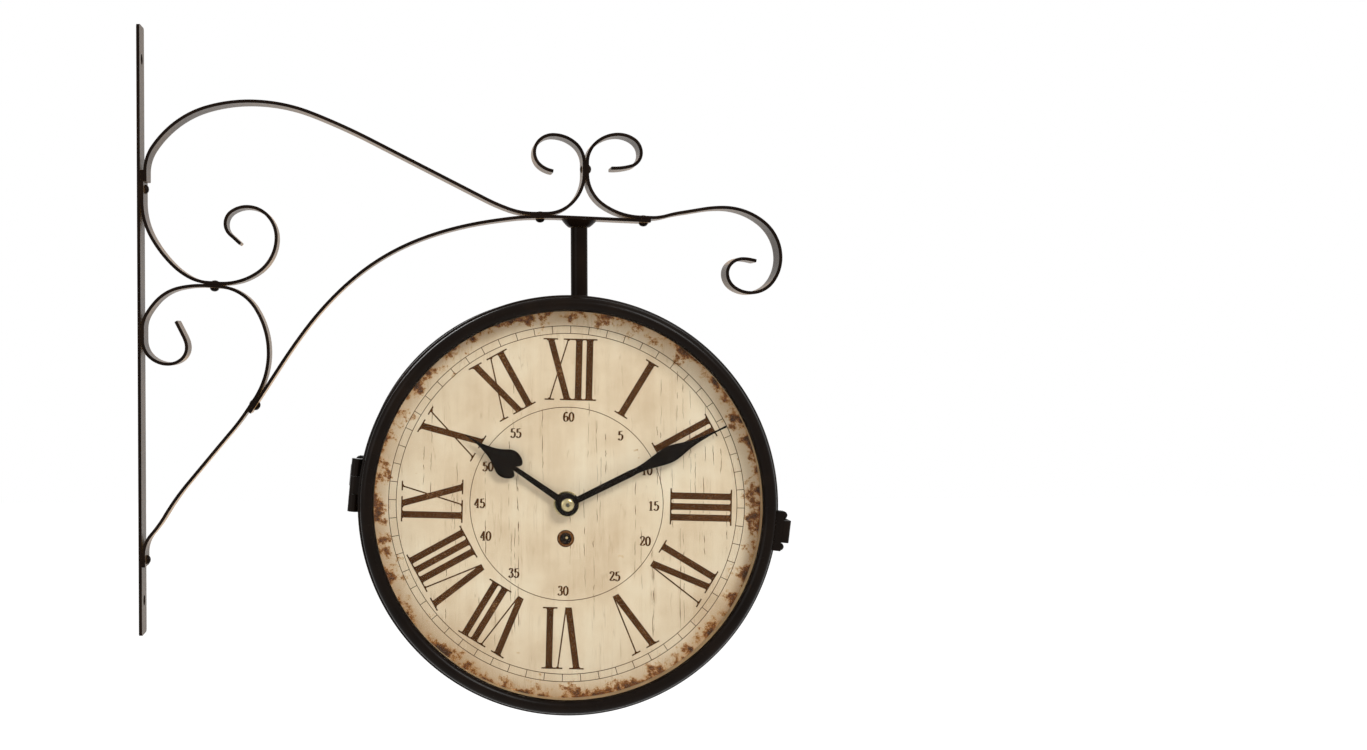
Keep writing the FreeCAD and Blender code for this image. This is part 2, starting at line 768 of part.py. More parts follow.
def strike_screws():
    """Screws from inside the drum into the strikes."""
    tip_r = drum_r + strike_screw_into
    made = []
    for side in ("front", "rear"):
        for place in strike_screw_places(side):
            made.append(at_side(wall_fastener(place, tip_r, None), side))
    return Part.makeCompound(made)


# ---- clasp: a snap tongue on the door over a strike on the drum ------------------------------------------
def clasp_top():
    return bezel_out_r + clasp_plate_out


def tongue_back():
    return bezel_bead_mid + clasp_plate_wide / 2 - tongue_reach


def strike_middle():
    return tongue_back() + strike_wide / 2


def strike_high():
    return clasp_top() + tongue_out - tongue_lip_deep - snap_clear - drum_r


def clasp_plate(side):
    mid = bezel_bead_mid
    half = clasp_plate_wide / 2
    plate = side_box(bezel_skirt_r - 6, clasp_top(), mid - half, mid + half, clasp_length)
    plate = plate.cut(bezel_envelope())
    plate = plate.common(side_box(bezel_skirt_r - 1.5, clasp_top(), mid - half, mid + half, clasp_length))
    for end in (-1, 1):
        spot = Vec(bezel_skirt_r - 2, -mid, end * clasp_screw_span / 2)
        radius = clasp_screw_d / 2 + rivet_clear
        plate = plate.cut(Part.makeCylinder(radius, 10, spot, Vec(1, 0, 0)))
    return turned(plate, side_angles(side)[1])


def clasp_screws(side):
    """Round head screws down to the bezel's bead."""
    made = []
    for end in (-1, 1):
        up = end * clasp_screw_span / 2
        base = Vec(clasp_top(), -bezel_bead_mid, up)
        bead_top = math.sqrt(bezel_out_r ** 2 - (abs(up) - clasp_screw_d / 2) ** 2)
        length = clasp_top() - bead_top - rivet_clear
        head = (clasp_screw_head_d, clasp_screw_head_high)
        screw = rivet(base, Vec(1, 0, 0), length, clasp_screw_d, head, None)
        made.append(turned(screw, side_angles(side)[1]))
    return Part.makeCompound(made)


def clasp_tongue(side):
    """Staple shaped spring: front leg on the plate, back leg with a lip over the strike."""
    front_v = bezel_bead_mid + clasp_plate_wide / 2
    back_v = tongue_back()
    low = clasp_top()
    high = low + tongue_out
    lip = high - tongue_lip_deep
    bend = 2 * tongue_thick
    in_bend = tongue_thick * 0.7
    corner = bend * (1 - math.sqrt(0.5))
    t = tongue_thick
    steps = [(high - bend, front_v), (high - corner, front_v - corner, high, front_v - bend)]
    steps += [(high, back_v + bend), (high - corner, back_v + corner, high - bend, back_v)]
    steps += [(lip, back_v), (lip, back_v + t), (high - t - in_bend, back_v + t)]
    steps += [(high - t, back_v + t + in_bend), (high - t, front_v - t - in_bend)]
    steps += [(high - t - in_bend, front_v - t), (low, front_v - t), (low, front_v)]
    wire = wire_through((low, front_v), steps, lambda r, v: Vec(r, -v, -tongue_width / 2))
    made = Part.Face(wire).extrude(Vec(0, 0, tongue_width))
    return turned(made, side_angles(side)[1])


def strike(side):
    """Block with a rounded crest, bedded on the drum wall under the tongue's lip."""
    mid = strike_middle()
    half = strike_wide / 2
    block = side_box(drum_r - 2, drum_r + strike_high(), mid - half, mid + half, strike_length)
    block = block.cut(plain_ring(0, drum_r, mid - half - 1, mid + half + 1))
    top = [edge for edge in block.Edges if abs(edge.BoundBox.XMin - drum_r - strike_high()) < 1e-6
           and abs(edge.Length - strike_length) < 1e-6]
    block = block.makeFillet(min(1.5, half / 2), top)
    block = turned(block, side_angles(side)[1])
    for place in strike_screw_places(side):
        block = block.cut(wall_hole(place, drum_r + strike_screw_into + rivet_clear))
    return block


# ---- clockwork --------------------------------------------------------------------------------------
def shaft(diameter, low, high, z=0.0):
    return Part.makeCylinder(diameter / 2, high - low, Vec(0, -high, z), Vec(0, 1, 0))


def movement_case():
    """Quartz movement: rounded case, bush through the dial, bay for one cell at the back."""
    half = case_size / 2
    case = box_between((-half, -dial_back, -half), (half, -case_back, half))
    corners = [edge for edge in case.Edges if abs(edge.Length - case_deep) < 1e-6]
    case = case.makeFillet(case_corner_r, corners)
    case = case.fuse(shaft(bush_d, dial_back, dial_face + bush_out)).removeSplitter()
    bay_half = battery_length / 2 + case_clear
    bay_wide = battery_d / 2 + case_clear
    bay_floor = battery_mid() + bay_wide
    bay = box_between((-bay_half, -bay_floor, battery_z - bay_wide),
                      (bay_half, -case_back + 1, battery_z + bay_wide))
    case = case.cut(bay)
    sunk = dial_back - shaft_sunk
    case = case.cut(shaft(hour_tube_d + 2 * run_clear, sunk, door_front))
    case = case.cut(shaft(minute_shaft_d + 2 * run_clear, sunk - 2, door_front))
    stem_end = case_back + knob_stem_sunk
    return case.cut(shaft(knob_stem_d + 2 * run_clear, case_back - 1, stem_end, knob_z))


def battery_mid():
    return case_back + battery_d / 2 + 0.2


def battery():
    """Round cell with its small positive cap, resting on the bay's floor side."""
    cap = 1.3
    start = Vec(-battery_length / 2, -battery_mid(), battery_z)
    body = Part.makeCylinder(battery_d / 2, battery_length - cap, start, Vec(1, 0, 0))
    end = start + Vec(battery_length - cap, 0, 0)
    return body.fuse(Part.makeCylinder(battery_d * 0.19, cap, end, Vec(1, 0, 0)))


def setting_knob():
    """Thumb wheel with a finger grip edge, on its stem."""
    low = case_back - knob_high
    wheel = shaft(knob_d, low, case_back - run_clear, knob_z)
    teeth = 8
    for i in range(teeth):
        angle = 2 * math.pi * i / teeth
        x = knob_d / 2 * math.cos(angle)
        z = knob_z + knob_d / 2 * math.sin(angle)
        wheel = wheel.cut(Part.makeCylinder(0.7, knob_high, Vec(x, -case_back + run_clear, z), Vec(0, 1, 0)))
    stem = shaft(knob_stem_d, case_back - 1, case_back + knob_stem_sunk - 0.3, knob_z)
    return wheel.fuse(stem).removeSplitter()


def dial_nut():
    """Brass washer and hexagon nut on the bush, in front of the dial."""
    top = dial_face + bush_out - 0.2
    hole = bush_d + 2 * rivet_clear
    disc = plain_ring(hole / 2, washer_d / 2, dial_face, dial_face + washer_thick)
    high = top - dial_face - washer_thick
    nut = hexagon(Vec(0, -top, 0), Vec(0, 1, 0), dial_nut_flats, high, hole)
    return Part.makeCompound([disc, nut])


def hour_tube():
    low = dial_back - shaft_sunk + 0.2
    bore = minute_shaft_d + 2 * run_clear
    return plain_ring(bore / 2, hour_tube_d / 2, low, dial_face + hour_tube_out)


def minute_shaft():
    return shaft(minute_shaft_d, dial_back - shaft_sunk - 1.8, dial_face + minute_shaft_out)


def hand_from(half_outline, rest_deg, out, bore_d):
    """Flat hand: half of its outline as (along, half width), mirrored, with a round hub."""
    sides = []
    for sign in (1, -1):
        points = [Vec(sign * half, 0, along) for along, half in half_outline]
        sides.append(points)
    curve = []
    for points in sides:
        tail, tip = points[:2], points[1:]
        spline = Part.BSplineCurve()
        spline.interpolate(tip)
        curve.append((Part.LineSegment(tail[0], tail[1]).toShape(), spline.toShape()))
    tip_cap = Part.LineSegment(sides[0][-1], sides[1][-1]).toShape()
    tail_cap = Part.LineSegment(sides[1][0], sides[0][0]).toShape()
    wire = Part.Wire([curve[0][0], curve[0][1], tip_cap, curve[1][1], curve[1][0], tail_cap])
    blade = Part.Face(wire).extrude(Vec(0, hand_thick, 0))
    hub = Part.makeCylinder(hand_hub_d / 2, hand_thick, Vec(0, 0, 0), Vec(0, 1, 0))
    hand = blade.fuse(hub)
    hand = hand.cut(Part.makeCylinder(bore_d / 2, hand_thick, Vec(0, 0, 0), Vec(0, 1, 0)))
    hand = hand.removeSplitter()
    hand.rotate(Vec(0, 0, 0), Vec(0, 1, 0), rest_deg)
    hand.translate(Vec(0, -(dial_face + out + hand_thick), 0))
    return hand


def hour_hand():
    """Spade: thin shaft, notched lobes, then a hollow taper to the tip."""
    reach = hour_hand_length
    wide = hour_spade_half
    outline = [(0, 2.1), (reach * 0.52, 1.5), (reach * 0.488, wide * 0.55), (reach * 0.53, wide * 0.9)]
    outline += [(reach * 0.61, wide), (reach * 0.69, wide * 0.62), (reach * 0.79, wide * 0.28)]
    outline += [(reach, 0.5)]
    return hand_from(outline, hour_rest_deg, hour_hand_out, hour_tube_d + 2 * rivet_clear)


def minute_hand():
    """Leaf: slim shaft that widens late, then a hollow taper to a long thin tip."""
    reach = minute_hand_length
    wide = minute_leaf_half
    outline = [(0, 1.9), (reach * 0.40, 2.1), (reach * 0.56, wide * 0.76), (reach * 0.66, wide)]
    outline += [(reach * 0.75, wide * 0.56), (reach * 0.85, wide * 0.22), (reach, 0.7)]
    return hand_from(outline, minute_rest_deg, minute_hand_out, minute_shaft_d + 2 * rivet_clear)


def cap_nut():
    """Small round brass nut with a domed end, over the end of the minute shaft."""
    seat = dial_face + minute_hand_out + hand_thick
    tip = seat + cap_nut_high
    base = shaft(cap_nut_d, seat, tip - 1.0)
    whole = base.fuse(dome(Vec(0, -tip + 1.0, 0), Vec(0, -1, 0), cap_nut_d, 1.0)).removeSplitter()
    end = dial_face + minute_shaft_out + rivet_clear
    return whole.cut(shaft(minute_shaft_d + 2 * rivet_clear, seat - 1, end))


# ---- the whole clock -------------------------------------------------------------------------------
def bracket_nodes():
    tenon_hole = upright(tenon_d / 2 + rivet_clear, arm_under_z - 2, arm_under_z + 2 * strip_thick)
    nodes = {"wall_bar": wall_bar(), "upper_arm": drilled(upper_arm())}
    nodes["wall_scroll"] = drilled(wall_scroll())
    nodes["lower_scroll"] = drilled(lower_scroll())
    nodes["lower_arm"] = drilled(lower_arm()).cut(tenon_hole)
    nodes["end_scroll"] = drilled(end_scroll())
    nodes["wall_rivets"] = wall_rivets()
    nodes["scroll_rivets"] = scroll_rivets()
    nodes["post_top_collar"] = post_top_collar()
    nodes["hanger_post"] = hanger_post()
    nodes["post_foot_collar"] = post_foot_collar()
    nodes["post_washer"] = post_washer()[0]
    nodes["post_nut"] = post_nut()
    nodes["drum_shell"] = drum_drilled()
    nodes["hinge_rivets"] = hinge_rivets()
    nodes["strike_screws"] = strike_screws()
    return nodes


def side_nodes(side):
    parts = {"bezel": bezel(), "dial": dial(), "dial_clips": dial_clips()}
    parts["glass"] = plain_ring(0, glass_r, glass_back, bezel_mid_v)
    parts["dial_ring"] = plain_ring(glass_r - dial_ring_wall, glass_r, dial_face, glass_back)
    parts["hinge_drum_leaf"] = hinge_drum_leaf(side)
    parts["hinge_door_leaf"] = hinge_door_leaf(side)
    parts["hinge_pin"] = hinge_pin(side)
    parts["clasp_plate"] = clasp_plate(side)
    parts["clasp_screws"] = clasp_screws(side)
    parts["clasp_tongue"] = clasp_tongue(side)
    parts["strike"] = strike(side)
    parts["movement_case"] = movement_case()
    parts["battery"] = battery()
    parts["setting_knob"] = setting_knob()
    parts["dial_nut"] = dial_nut()
    parts["hour_tube"] = hour_tube()
    parts["hour_hand"] = hour_hand()
    parts["minute_shaft"] = minute_shaft()
    parts["minute_hand"] = minute_hand()
    parts["cap_nut"] = cap_nut()
    return {side + "_" + name: at_side(shape, side) for name, shape in parts.items()}


def main():
    os.makedirs("parts", exist_ok=True)
    nodes = bracket_nodes()
    for side in ("front", "rear"):
        nodes.update(side_nodes(side))
    for name, shape in nodes.items():
        shape.exportStep("parts/" + name + ".step")
    print(len(nodes), "nodes written")


main()
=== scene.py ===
import json
import math

import bmesh
import bpy
import numpy as np
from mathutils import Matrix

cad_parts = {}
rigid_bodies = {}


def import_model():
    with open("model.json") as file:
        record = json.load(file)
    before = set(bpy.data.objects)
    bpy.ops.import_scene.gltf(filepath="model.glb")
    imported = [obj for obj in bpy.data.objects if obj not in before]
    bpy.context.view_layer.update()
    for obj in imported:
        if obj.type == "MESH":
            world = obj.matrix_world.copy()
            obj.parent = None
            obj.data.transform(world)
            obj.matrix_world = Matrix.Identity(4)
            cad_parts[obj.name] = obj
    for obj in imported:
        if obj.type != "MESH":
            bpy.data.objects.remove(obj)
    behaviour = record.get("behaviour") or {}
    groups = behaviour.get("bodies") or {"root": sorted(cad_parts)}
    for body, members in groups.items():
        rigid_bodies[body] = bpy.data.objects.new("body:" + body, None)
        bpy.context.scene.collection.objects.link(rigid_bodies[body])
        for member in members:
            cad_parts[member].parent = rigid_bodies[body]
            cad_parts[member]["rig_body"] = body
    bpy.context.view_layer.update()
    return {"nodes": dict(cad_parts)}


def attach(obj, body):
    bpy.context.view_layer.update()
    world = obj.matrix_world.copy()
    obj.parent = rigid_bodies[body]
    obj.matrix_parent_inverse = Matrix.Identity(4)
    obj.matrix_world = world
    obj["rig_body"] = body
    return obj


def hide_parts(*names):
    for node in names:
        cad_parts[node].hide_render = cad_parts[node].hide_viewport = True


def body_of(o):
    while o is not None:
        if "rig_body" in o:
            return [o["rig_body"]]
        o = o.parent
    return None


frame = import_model()

# Lengths are in millimetres up to the last step, which turns them into metres.

# ---- bracket of flat strip -----------------------------------------------------------------------
strip_half_wide = 9.0
strip_half_thick = 1.0
strip_corner_r = 1.5
strip_edge_r = 0.35
strips = {
    "upper_arm": [(258.4, 97.3, 172), (246.6, 109.0, 90), (258.0, 119.8, 0), (277.4, 102.5, 270),
                  (277.4, 95.5, 270), (254.0, 71.0, 180), (247.0, 71.0, 180), (216.0, 80.4, 152.5),
                  (146.0, 116.8, 152.5), (69.0, 141.5, 180), (20.5, 125.6, 221), (5.0, 98.5, 270),
                  (5.0, 92.3, 270)],
    "wall_scroll": [(3.0, 99.4, 270), (3.0, 79.8, 270), (22.5, 39.5, 316), (43.58, 29.14, -4.0),
                    (50.56, 28.65, -4.0), (86.2, 57.0, 90), (68.0, 76.1, 180), (54.6, 65.6, 270),
                    (63.9, 53.0, 316)],
    "lower_scroll": [(23.6, 5.3, 297), (28.2, -3.8, 297), (30.3, -11.2, 270), (18.8, -21.4, 180),
                     (3.0, -6.5, 90), (3.0, 0.5, 90), (11.5, 17.7, 47), (43.44, 27.15, -4.0),
                     (50.42, 26.66, -4.0), (81.0, -14.5, 270), (72.3, -43.33, 236.5),
                     (68.43, -49.17, 236.5), (46.0, -77.2, 230), (16.4, -115.4, 239),
                     (3.0, -140.0, 270), (3.0, -147.6, 270)],
    "lower_arm": [(69.0, -51.94, 56.5), (73.97, -44.43, 56.5), (103.5, -1.0, 53),
                  (139.1, 35.3, 37.5), (176.0, 55.6, 20.5), (217.6, 66.2, 8.5), (247.0, 69.0, 0),
                  (254.0, 69.0, 0), (261.0, 68.9, -2.8), (318.8, 66.07, -2.8)],
    "end_scroll": [(294.2, 98.9, -4), (312.8, 108.2, 90), (298.5, 119.8, 180),
                   (279.4, 102.5, 270), (279.4, 95.5, 270), (311.6, 68.43, -2.8),
                   (318.59, 68.09, -2.8), (338.0, 71.2, 8.5), (363.0, 74.2, 0), (399.0, 43.0, 270),
                   (380.5, 21.2, 180), (365.9, 33.4, 90), (375.5, 42.3, 0), (384.1, 40.9, -14)],
}

# every rivet of the bracket: base of its head, direction out of the head, grip
scroll_rivets = [((46.86, 0, 25.9), (-0.0698, 0, -0.9976), 4.0),
                 ((72.87, 0, -47.9), (0.8339, 0, -0.5519), 4.0),
                 ((250.5, 0, 68.0), (0, 0, -1), 4.0),
                 ((314.95, 0, 65.26), (-0.0488, 0, -0.9988), 4.0),
                 ((280.4, 0, 99.0), (1, 0, 0), 4.0)]
wall_rivets = [((4.0, 0, 87.8), (1, 0, 0), 2.0), ((4.0, 0, -143.6), (1, 0, 0), 2.0)]
head_r, head_high, head_sunk = 2.9, 2.2, 0.05
tail_r, tail_high, tail_sunk = 2.3, 0.9, 1.5
shank_r = 1.5
axis_r = 0.4

# ---- hanging post --------------------------------------------------------------------------------
post_x = 274.8
post_r = 5.25
stud_r = 4.0
stud_below = 15.0
arm_under_z = 67.22
arm_slope = math.tan(math.radians(-2.8))
collar_bore_r = 4.9
bell_foot_r, bell_flare, bell_high = 6.3, 4.5, 4.6
cone_high = 2.4

# ---- drum and doors, as radius from the drum's axis and distance out from its middle -------------
drum_x, drum_z = 263.1, -106.5
drum_r, drum_half, drum_sheet = 121.6, 37.7, 1.0
rim_bead_r = 0.9
door_back = 38.0
roll_mid_r, roll_mid_out, roll_r = 120.4, 45.8, 4.2
skirt_r = 124.6
skirt_bead_out, skirt_bead_r = 43.4, 1.4
bezel_wall = 1.0
glass_r, glass_back, glass_thick = 118.15, 43.8, 2.0
band_wall = 1.0
dial_r, dial_face, dial_back = 117.55, 34.4, 31.4
bush_hole_r = 4.1
nut_seat = dial_face + 6.5
tip_foot = nut_seat + 1.6
drum_top_z = 14.536
rim_turns = 288

# ---- print of the dial ---------------------------------------------------------------------------
print_roll_deg = 1.65
print_high = 0.05
print_low_out, print_top_out = dial_face - print_high, dial_face + print_high
print_step = 0.004
line_wide = 0.4
track_r = (103.0, 107.6)
inner_circle_r = 58.4
numeral_foot_r, numeral_top_r = 62.6, 99.9
thick_stroke, thin_stroke = 4.0, 0.85
upright_pitch = 6.5
minute_ring_r = 52.6
minute_angles = (37, 66, 90, 114, 145, 181, 216, 247, 269, 294, 323, 360)
figure_high, pen_thin, pen_thick = 5.5, 0.46, 1.2
winding_drop, winding_ring_r, winding_ring_wide = 21.0, 5.2, 1.3
winding_rust_r, winding_hole_r, winding_dot_r = 4.6, 3.5, 0.75
crack_field_r = 104
roman = ["I", "II", "III", "IV", "V", "VI", "VII", "VIII", "IX", "X", "XI", "XII"]

# ---- bodies and finishes that many pieces share --------------------------------------------------
fixed_body = "bracket_and_drum"
black = "black_enamel"


# ---- shapes as arrays ----------------------------------------------------------------------------
def grid_shell(grid, loop_u=False, loop_v=True, caps=False):
    """Surface over a grid of points: each cell of four neighbours is a face. loop_u and loop_v
    join the last row or column to the first, caps close the first and last row by a fan."""
    rows, columns = grid.shape[:2]
    index = np.arange(rows * columns).reshape(rows, columns)
    if loop_u:
        index = np.concatenate([index, index[:1]])
    if loop_v:
        index = np.concatenate([index, index[:, :1]], axis=1)
    quads = np.stack([index[:-1, :-1], index[1:, :-1], index[1:, 1:], index[:-1, 1:]], axis=-1)
    points = grid.reshape(-1, 3)
    faces = quads.reshape(-1, 4).tolist()
    if caps:
        ends = np.stack([grid[0].mean(axis=0), grid[-1].mean(axis=0)])
        middle = len(points)
        points = np.concatenate([points, ends])
        first, last = index[0], index[-1]
        hub = np.full(len(first) - 1, middle)
        faces += np.stack([first[:-1], first[1:], hub], axis=-1).tolist()
        faces += np.stack([last[1:], last[:-1], hub + 1], axis=-1).tolist()
    return points, faces


def plate_shell(outline, low, high):
    """Prism: an outline of (x, z) points between two distances out, with one face at each end."""
    count = len(outline)
    flat = np.asarray(outline, float)
    bottom = np.column_stack([flat[:, 0], np.full(count, -low), flat[:, 1]])
    top = np.column_stack([flat[:, 0], np.full(count, -high), flat[:, 1]])
    here = np.arange(count)
    ahead = (here + 1) % count
    sides = np.stack([here, ahead, ahead + count, here + count], axis=-1).tolist()
    return np.concatenate([bottom, top]), sides + [here[::-1].tolist(), (here + count).tolist()]


def signed_volume(points, faces):
    """Sum over the faces' triangles of a . (b x c) / 6, positive where faces point outwards."""
    triangles = [(f[0], f[i], f[i + 1]) for f in faces for i in range(1, len(f) - 1)]
    a, b, c = points[np.array(triangles)].transpose(1, 0, 2)
    return float(np.einsum("ij,ij->i", a, np.cross(b, c)).sum() / 6)


def outward(shell):
    """Shell with its faces turned round where its signed volume is negative."""
    points, faces = shell
    centred = points - points.mean(axis=0)
    if signed_volume(centred, faces) < 0:
        faces = [face[::-1] for face in faces]
    return points, faces


def lathe(profile, turns=64, loop=False):
    """Profile of (radius, height) turned about z: x = r cos a, y = r sin a, z = height. A profile
    that isn't a loop is closed at both ends by a fan."""
    profile = np.asarray(profile, float)
    angle = np.linspace(0, 2 * np.pi, turns, endpoint=False)
    x = np.outer(profile[:, 0], np.cos(angle))
    y = np.outer(profile[:, 0], np.sin(angle))
    z = np.repeat(profile[:, 1:2], turns, axis=1)
    return grid_shell(np.stack([x, y, z], axis=-1), loop_u=loop, caps=not loop)


def stand(shell, base, way):
    """Shell turned so that its z axis lies along way, and moved to base: each point becomes
    x side + y (way x side) + z way + base."""
    way = np.asarray(way, float) / np.linalg.norm(way)
    across = np.array([0.0, 1.0, 0.0]) if abs(way[1]) < 0.9 else np.array([1.0, 0.0, 0.0])
    side = np.cross(across, way)
    side /= np.linalg.norm(side)
    points = shell[0]
    axes = np.stack([side, np.cross(way, side), way])
    return points @ axes + np.asarray(base, float), shell[1]


def arc(centre, radius, start_deg, end_deg, count):
    """Points on a circle: centre + radius (cos a, sin a), with a in even steps."""
    angle = np.radians(np.linspace(start_deg, end_deg, count))
    return np.column_stack([centre[0] + radius * np.cos(angle), centre[1] + radius * np.sin(angle)])


def at_face(shell, side):
    """From a door's own place, x to the viewer's right, y into the drum and z up about the
    drum's axis, to the front of the clock, or turned half round for the rear."""
    way = np.array([1, 1, 1]) if side == "front" else np.array([-1, -1, 1])
    return shell[0] * way + np.array([drum_x, 0, drum_z]), shell[1]


def about_drum(profile, turns, loop=True):
    """Profile of (radius, distance out) turned about the drum's axis, which lies along y."""
    points, faces = lathe(profile, turns, loop)
    return np.column_stack([points[:, 0], -points[:, 2], points[:, 1]]), faces


# ---- pieces --------------------------------------------------------------------------------------
def smoothed(mesh, sharp_deg):
    """Smooth shading on every face, broken at edges sharper than the angle."""
    mesh.polygons.foreach_set("use_smooth", np.ones(len(mesh.polygons), bool))
    mesh.set_sharp_from_angle(angle=math.radians(sharp_deg))


def make_piece(name, shells, material, body, stands_for=()):
    """One object from closed shells, each with its faces turned outwards."""
    shells = [outward(shell) for shell in shells]
    starts = np.cumsum([0] + [len(points) for points, _ in shells])
    points = np.concatenate([points for points, _ in shells]) * 0.001
    faces = [[start + i for i in face]
             for start, (_, own) in zip(starts.tolist(), shells) for face in own]
    mesh = bpy.data.meshes.new(name)
    mesh.from_pydata(points.tolist(), [], faces)
    smoothed(mesh, 35)
    settle(bpy.data.objects.new(name, mesh), material, body, stands_for)


def settle(piece, material, body, stands_for=()):
    """Link a piece, give it its finish and hand it to the body that carries it."""
    bpy.context.scene.collection.objects.link(piece)
    piece.data.materials.clear()
    piece.data.materials.append(material)
    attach(piece, body)
    if stands_for:
        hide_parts(*stands_for)


def eased_copy(node, material, body, width=0.15, segments=2):
    """A node's own solid with its loose triangles joined, its flats cleared of inner lines and
    its edges rounded by a bevel of this width, or left as they are where it is 0."""
    work = bmesh.new()
    work.from_mesh(frame["nodes"][node].data)
    bmesh.ops.remove_doubles(work, verts=work.verts, dist=2e-6)
    bmesh.ops.dissolve_limit(work, angle_limit=math.radians(1), verts=work.verts, edges=work.edges)
    mesh = bpy.data.meshes.new(node + "_finished")
    work.to_mesh(mesh)
    work.free()
    smoothed(mesh, 40)
    piece = bpy.data.objects.new(node + "_finished", mesh)
    settle(piece, material, body, (node,))
    if width:
        bevel = piece.modifiers.new("eased_edges", "BEVEL")
        bevel.width = width * 0.001
        bevel.segments = segments
        bevel.limit_method = "ANGLE"
        bevel.angle_limit = math.radians(40)
        bevel.use_clamp_overlap = True
        bevel.harden_normals = True


# ---- materials -----------------------------------------------------------------------------------
def tone(code):
    """sRGB hex to linear colour."""
    parts = [int(code[i:i + 2], 16) / 255 for i in (1, 3, 5)]
    linear = [c / 12.92 if c <= 0.04045 else ((c + 0.055) / 1.055) ** 2.4 for c in parts]
    return (*linear, 1.0)


def plug(tree, node, inputs):
    """Give each input of a node its plain value, or the socket or node that feeds it. A node
    feeds from its first output in use."""
    for name, value in inputs.items():
        if isinstance(value, bpy.types.Node):
            value = next(output for output in value.outputs if output.enabled)
        if isinstance(value, bpy.types.NodeSocket):
            tree.links.new(value, node.inputs[name])
        else:
            node.inputs[name].default_value = value


def add(tree, kind, inputs=None, stops=None, **settings):
    """One node with its settings and inputs. Stops are a ramp's places and colours."""
    node = tree.nodes.new("ShaderNode" + kind)
    for name, value in settings.items():
        setattr(node, name, value)
    plug(tree, node, inputs or {})
    if stops:
        ramp = node.color_ramp.elements
        ramp[0].position, ramp[0].color = stops[0]
        ramp[1].position, ramp[1].color = stops[-1]
        for place, colour in stops[1:-1]:
            ramp.new(place).color = colour
    return node


def new_material(name):
    """Empty material with its shader, output and Object coordinates."""
    material = bpy.data.materials.new(name)
    material.use_nodes = True
    tree = material.node_tree
    tree.nodes.clear()
    shader = add(tree, "BsdfPrincipled")
    add(tree, "OutputMaterial", {"Surface": shader})
    place = add(tree, "TexCoord").outputs["Object"]
    return material, tree, shader, place


def show(tree, surface):
    """Let the material's output show this surface in the plain shader's place."""
    output = next(node for node in tree.nodes if node.type == "OUTPUT_MATERIAL")
    plug(tree, output, {"Surface": surface})


def grey(value):
    """Linear grey of one value."""
    return (value, value, value, 1.0)


def enamelled_iron(name, dark, mid, light, rough, bump_mm, mirror, waxed):
    """Brushed stoving enamel on iron: brown black, satin, with soft orange peel of about 2 mm and
    cloudy patches of some 25 mm. Straight on it stays nearly black, and at a glance its sides
    pick up the white room, warmed to beige by the wax that was rubbed over it."""
    material, tree, shader, place = new_material(name)
    cloud = add(tree, "TexNoise", {"Vector": place, "Scale": 40.0, "Detail": 4.0})
    grain = add(tree, "TexNoise", {"Vector": place, "Scale": 900.0, "Detail": 3.0})
    peel = add(tree, "TexNoise", {"Vector": place, "Scale": 450.0, "Detail": 2.0})
    colour = add(tree, "ValToRGB", {"Fac": cloud},
                 stops=[(0.30, tone(dark)), (0.52, tone(mid)), (0.74, tone(light))])
    speck = add(tree, "ValToRGB", {"Fac": grain}, stops=[(0.40, grey(0.94)), (0.70, grey(1.0))])
    paint = add(tree, "Mix", {"Factor": 1.0, 6: colour, 7: speck}, data_type="RGBA",
                blend_type="MULTIPLY")
    gloss = add(tree, "MapRange", {"Value": peel, "To Min": rough - 0.06, "To Max": rough + 0.08})
    relief = add(tree, "Bump", {"Height": peel, "Strength": 0.5, "Distance": bump_mm * 0.001})
    plug(tree, shader, {"Base Color": paint, "Roughness": gloss, "Normal": relief,
                        "Specular IOR Level": mirror, "Sheen Weight": waxed, "Sheen Roughness": 0.2,
                        "Sheen Tint": tone("#C8985A")})
    return material


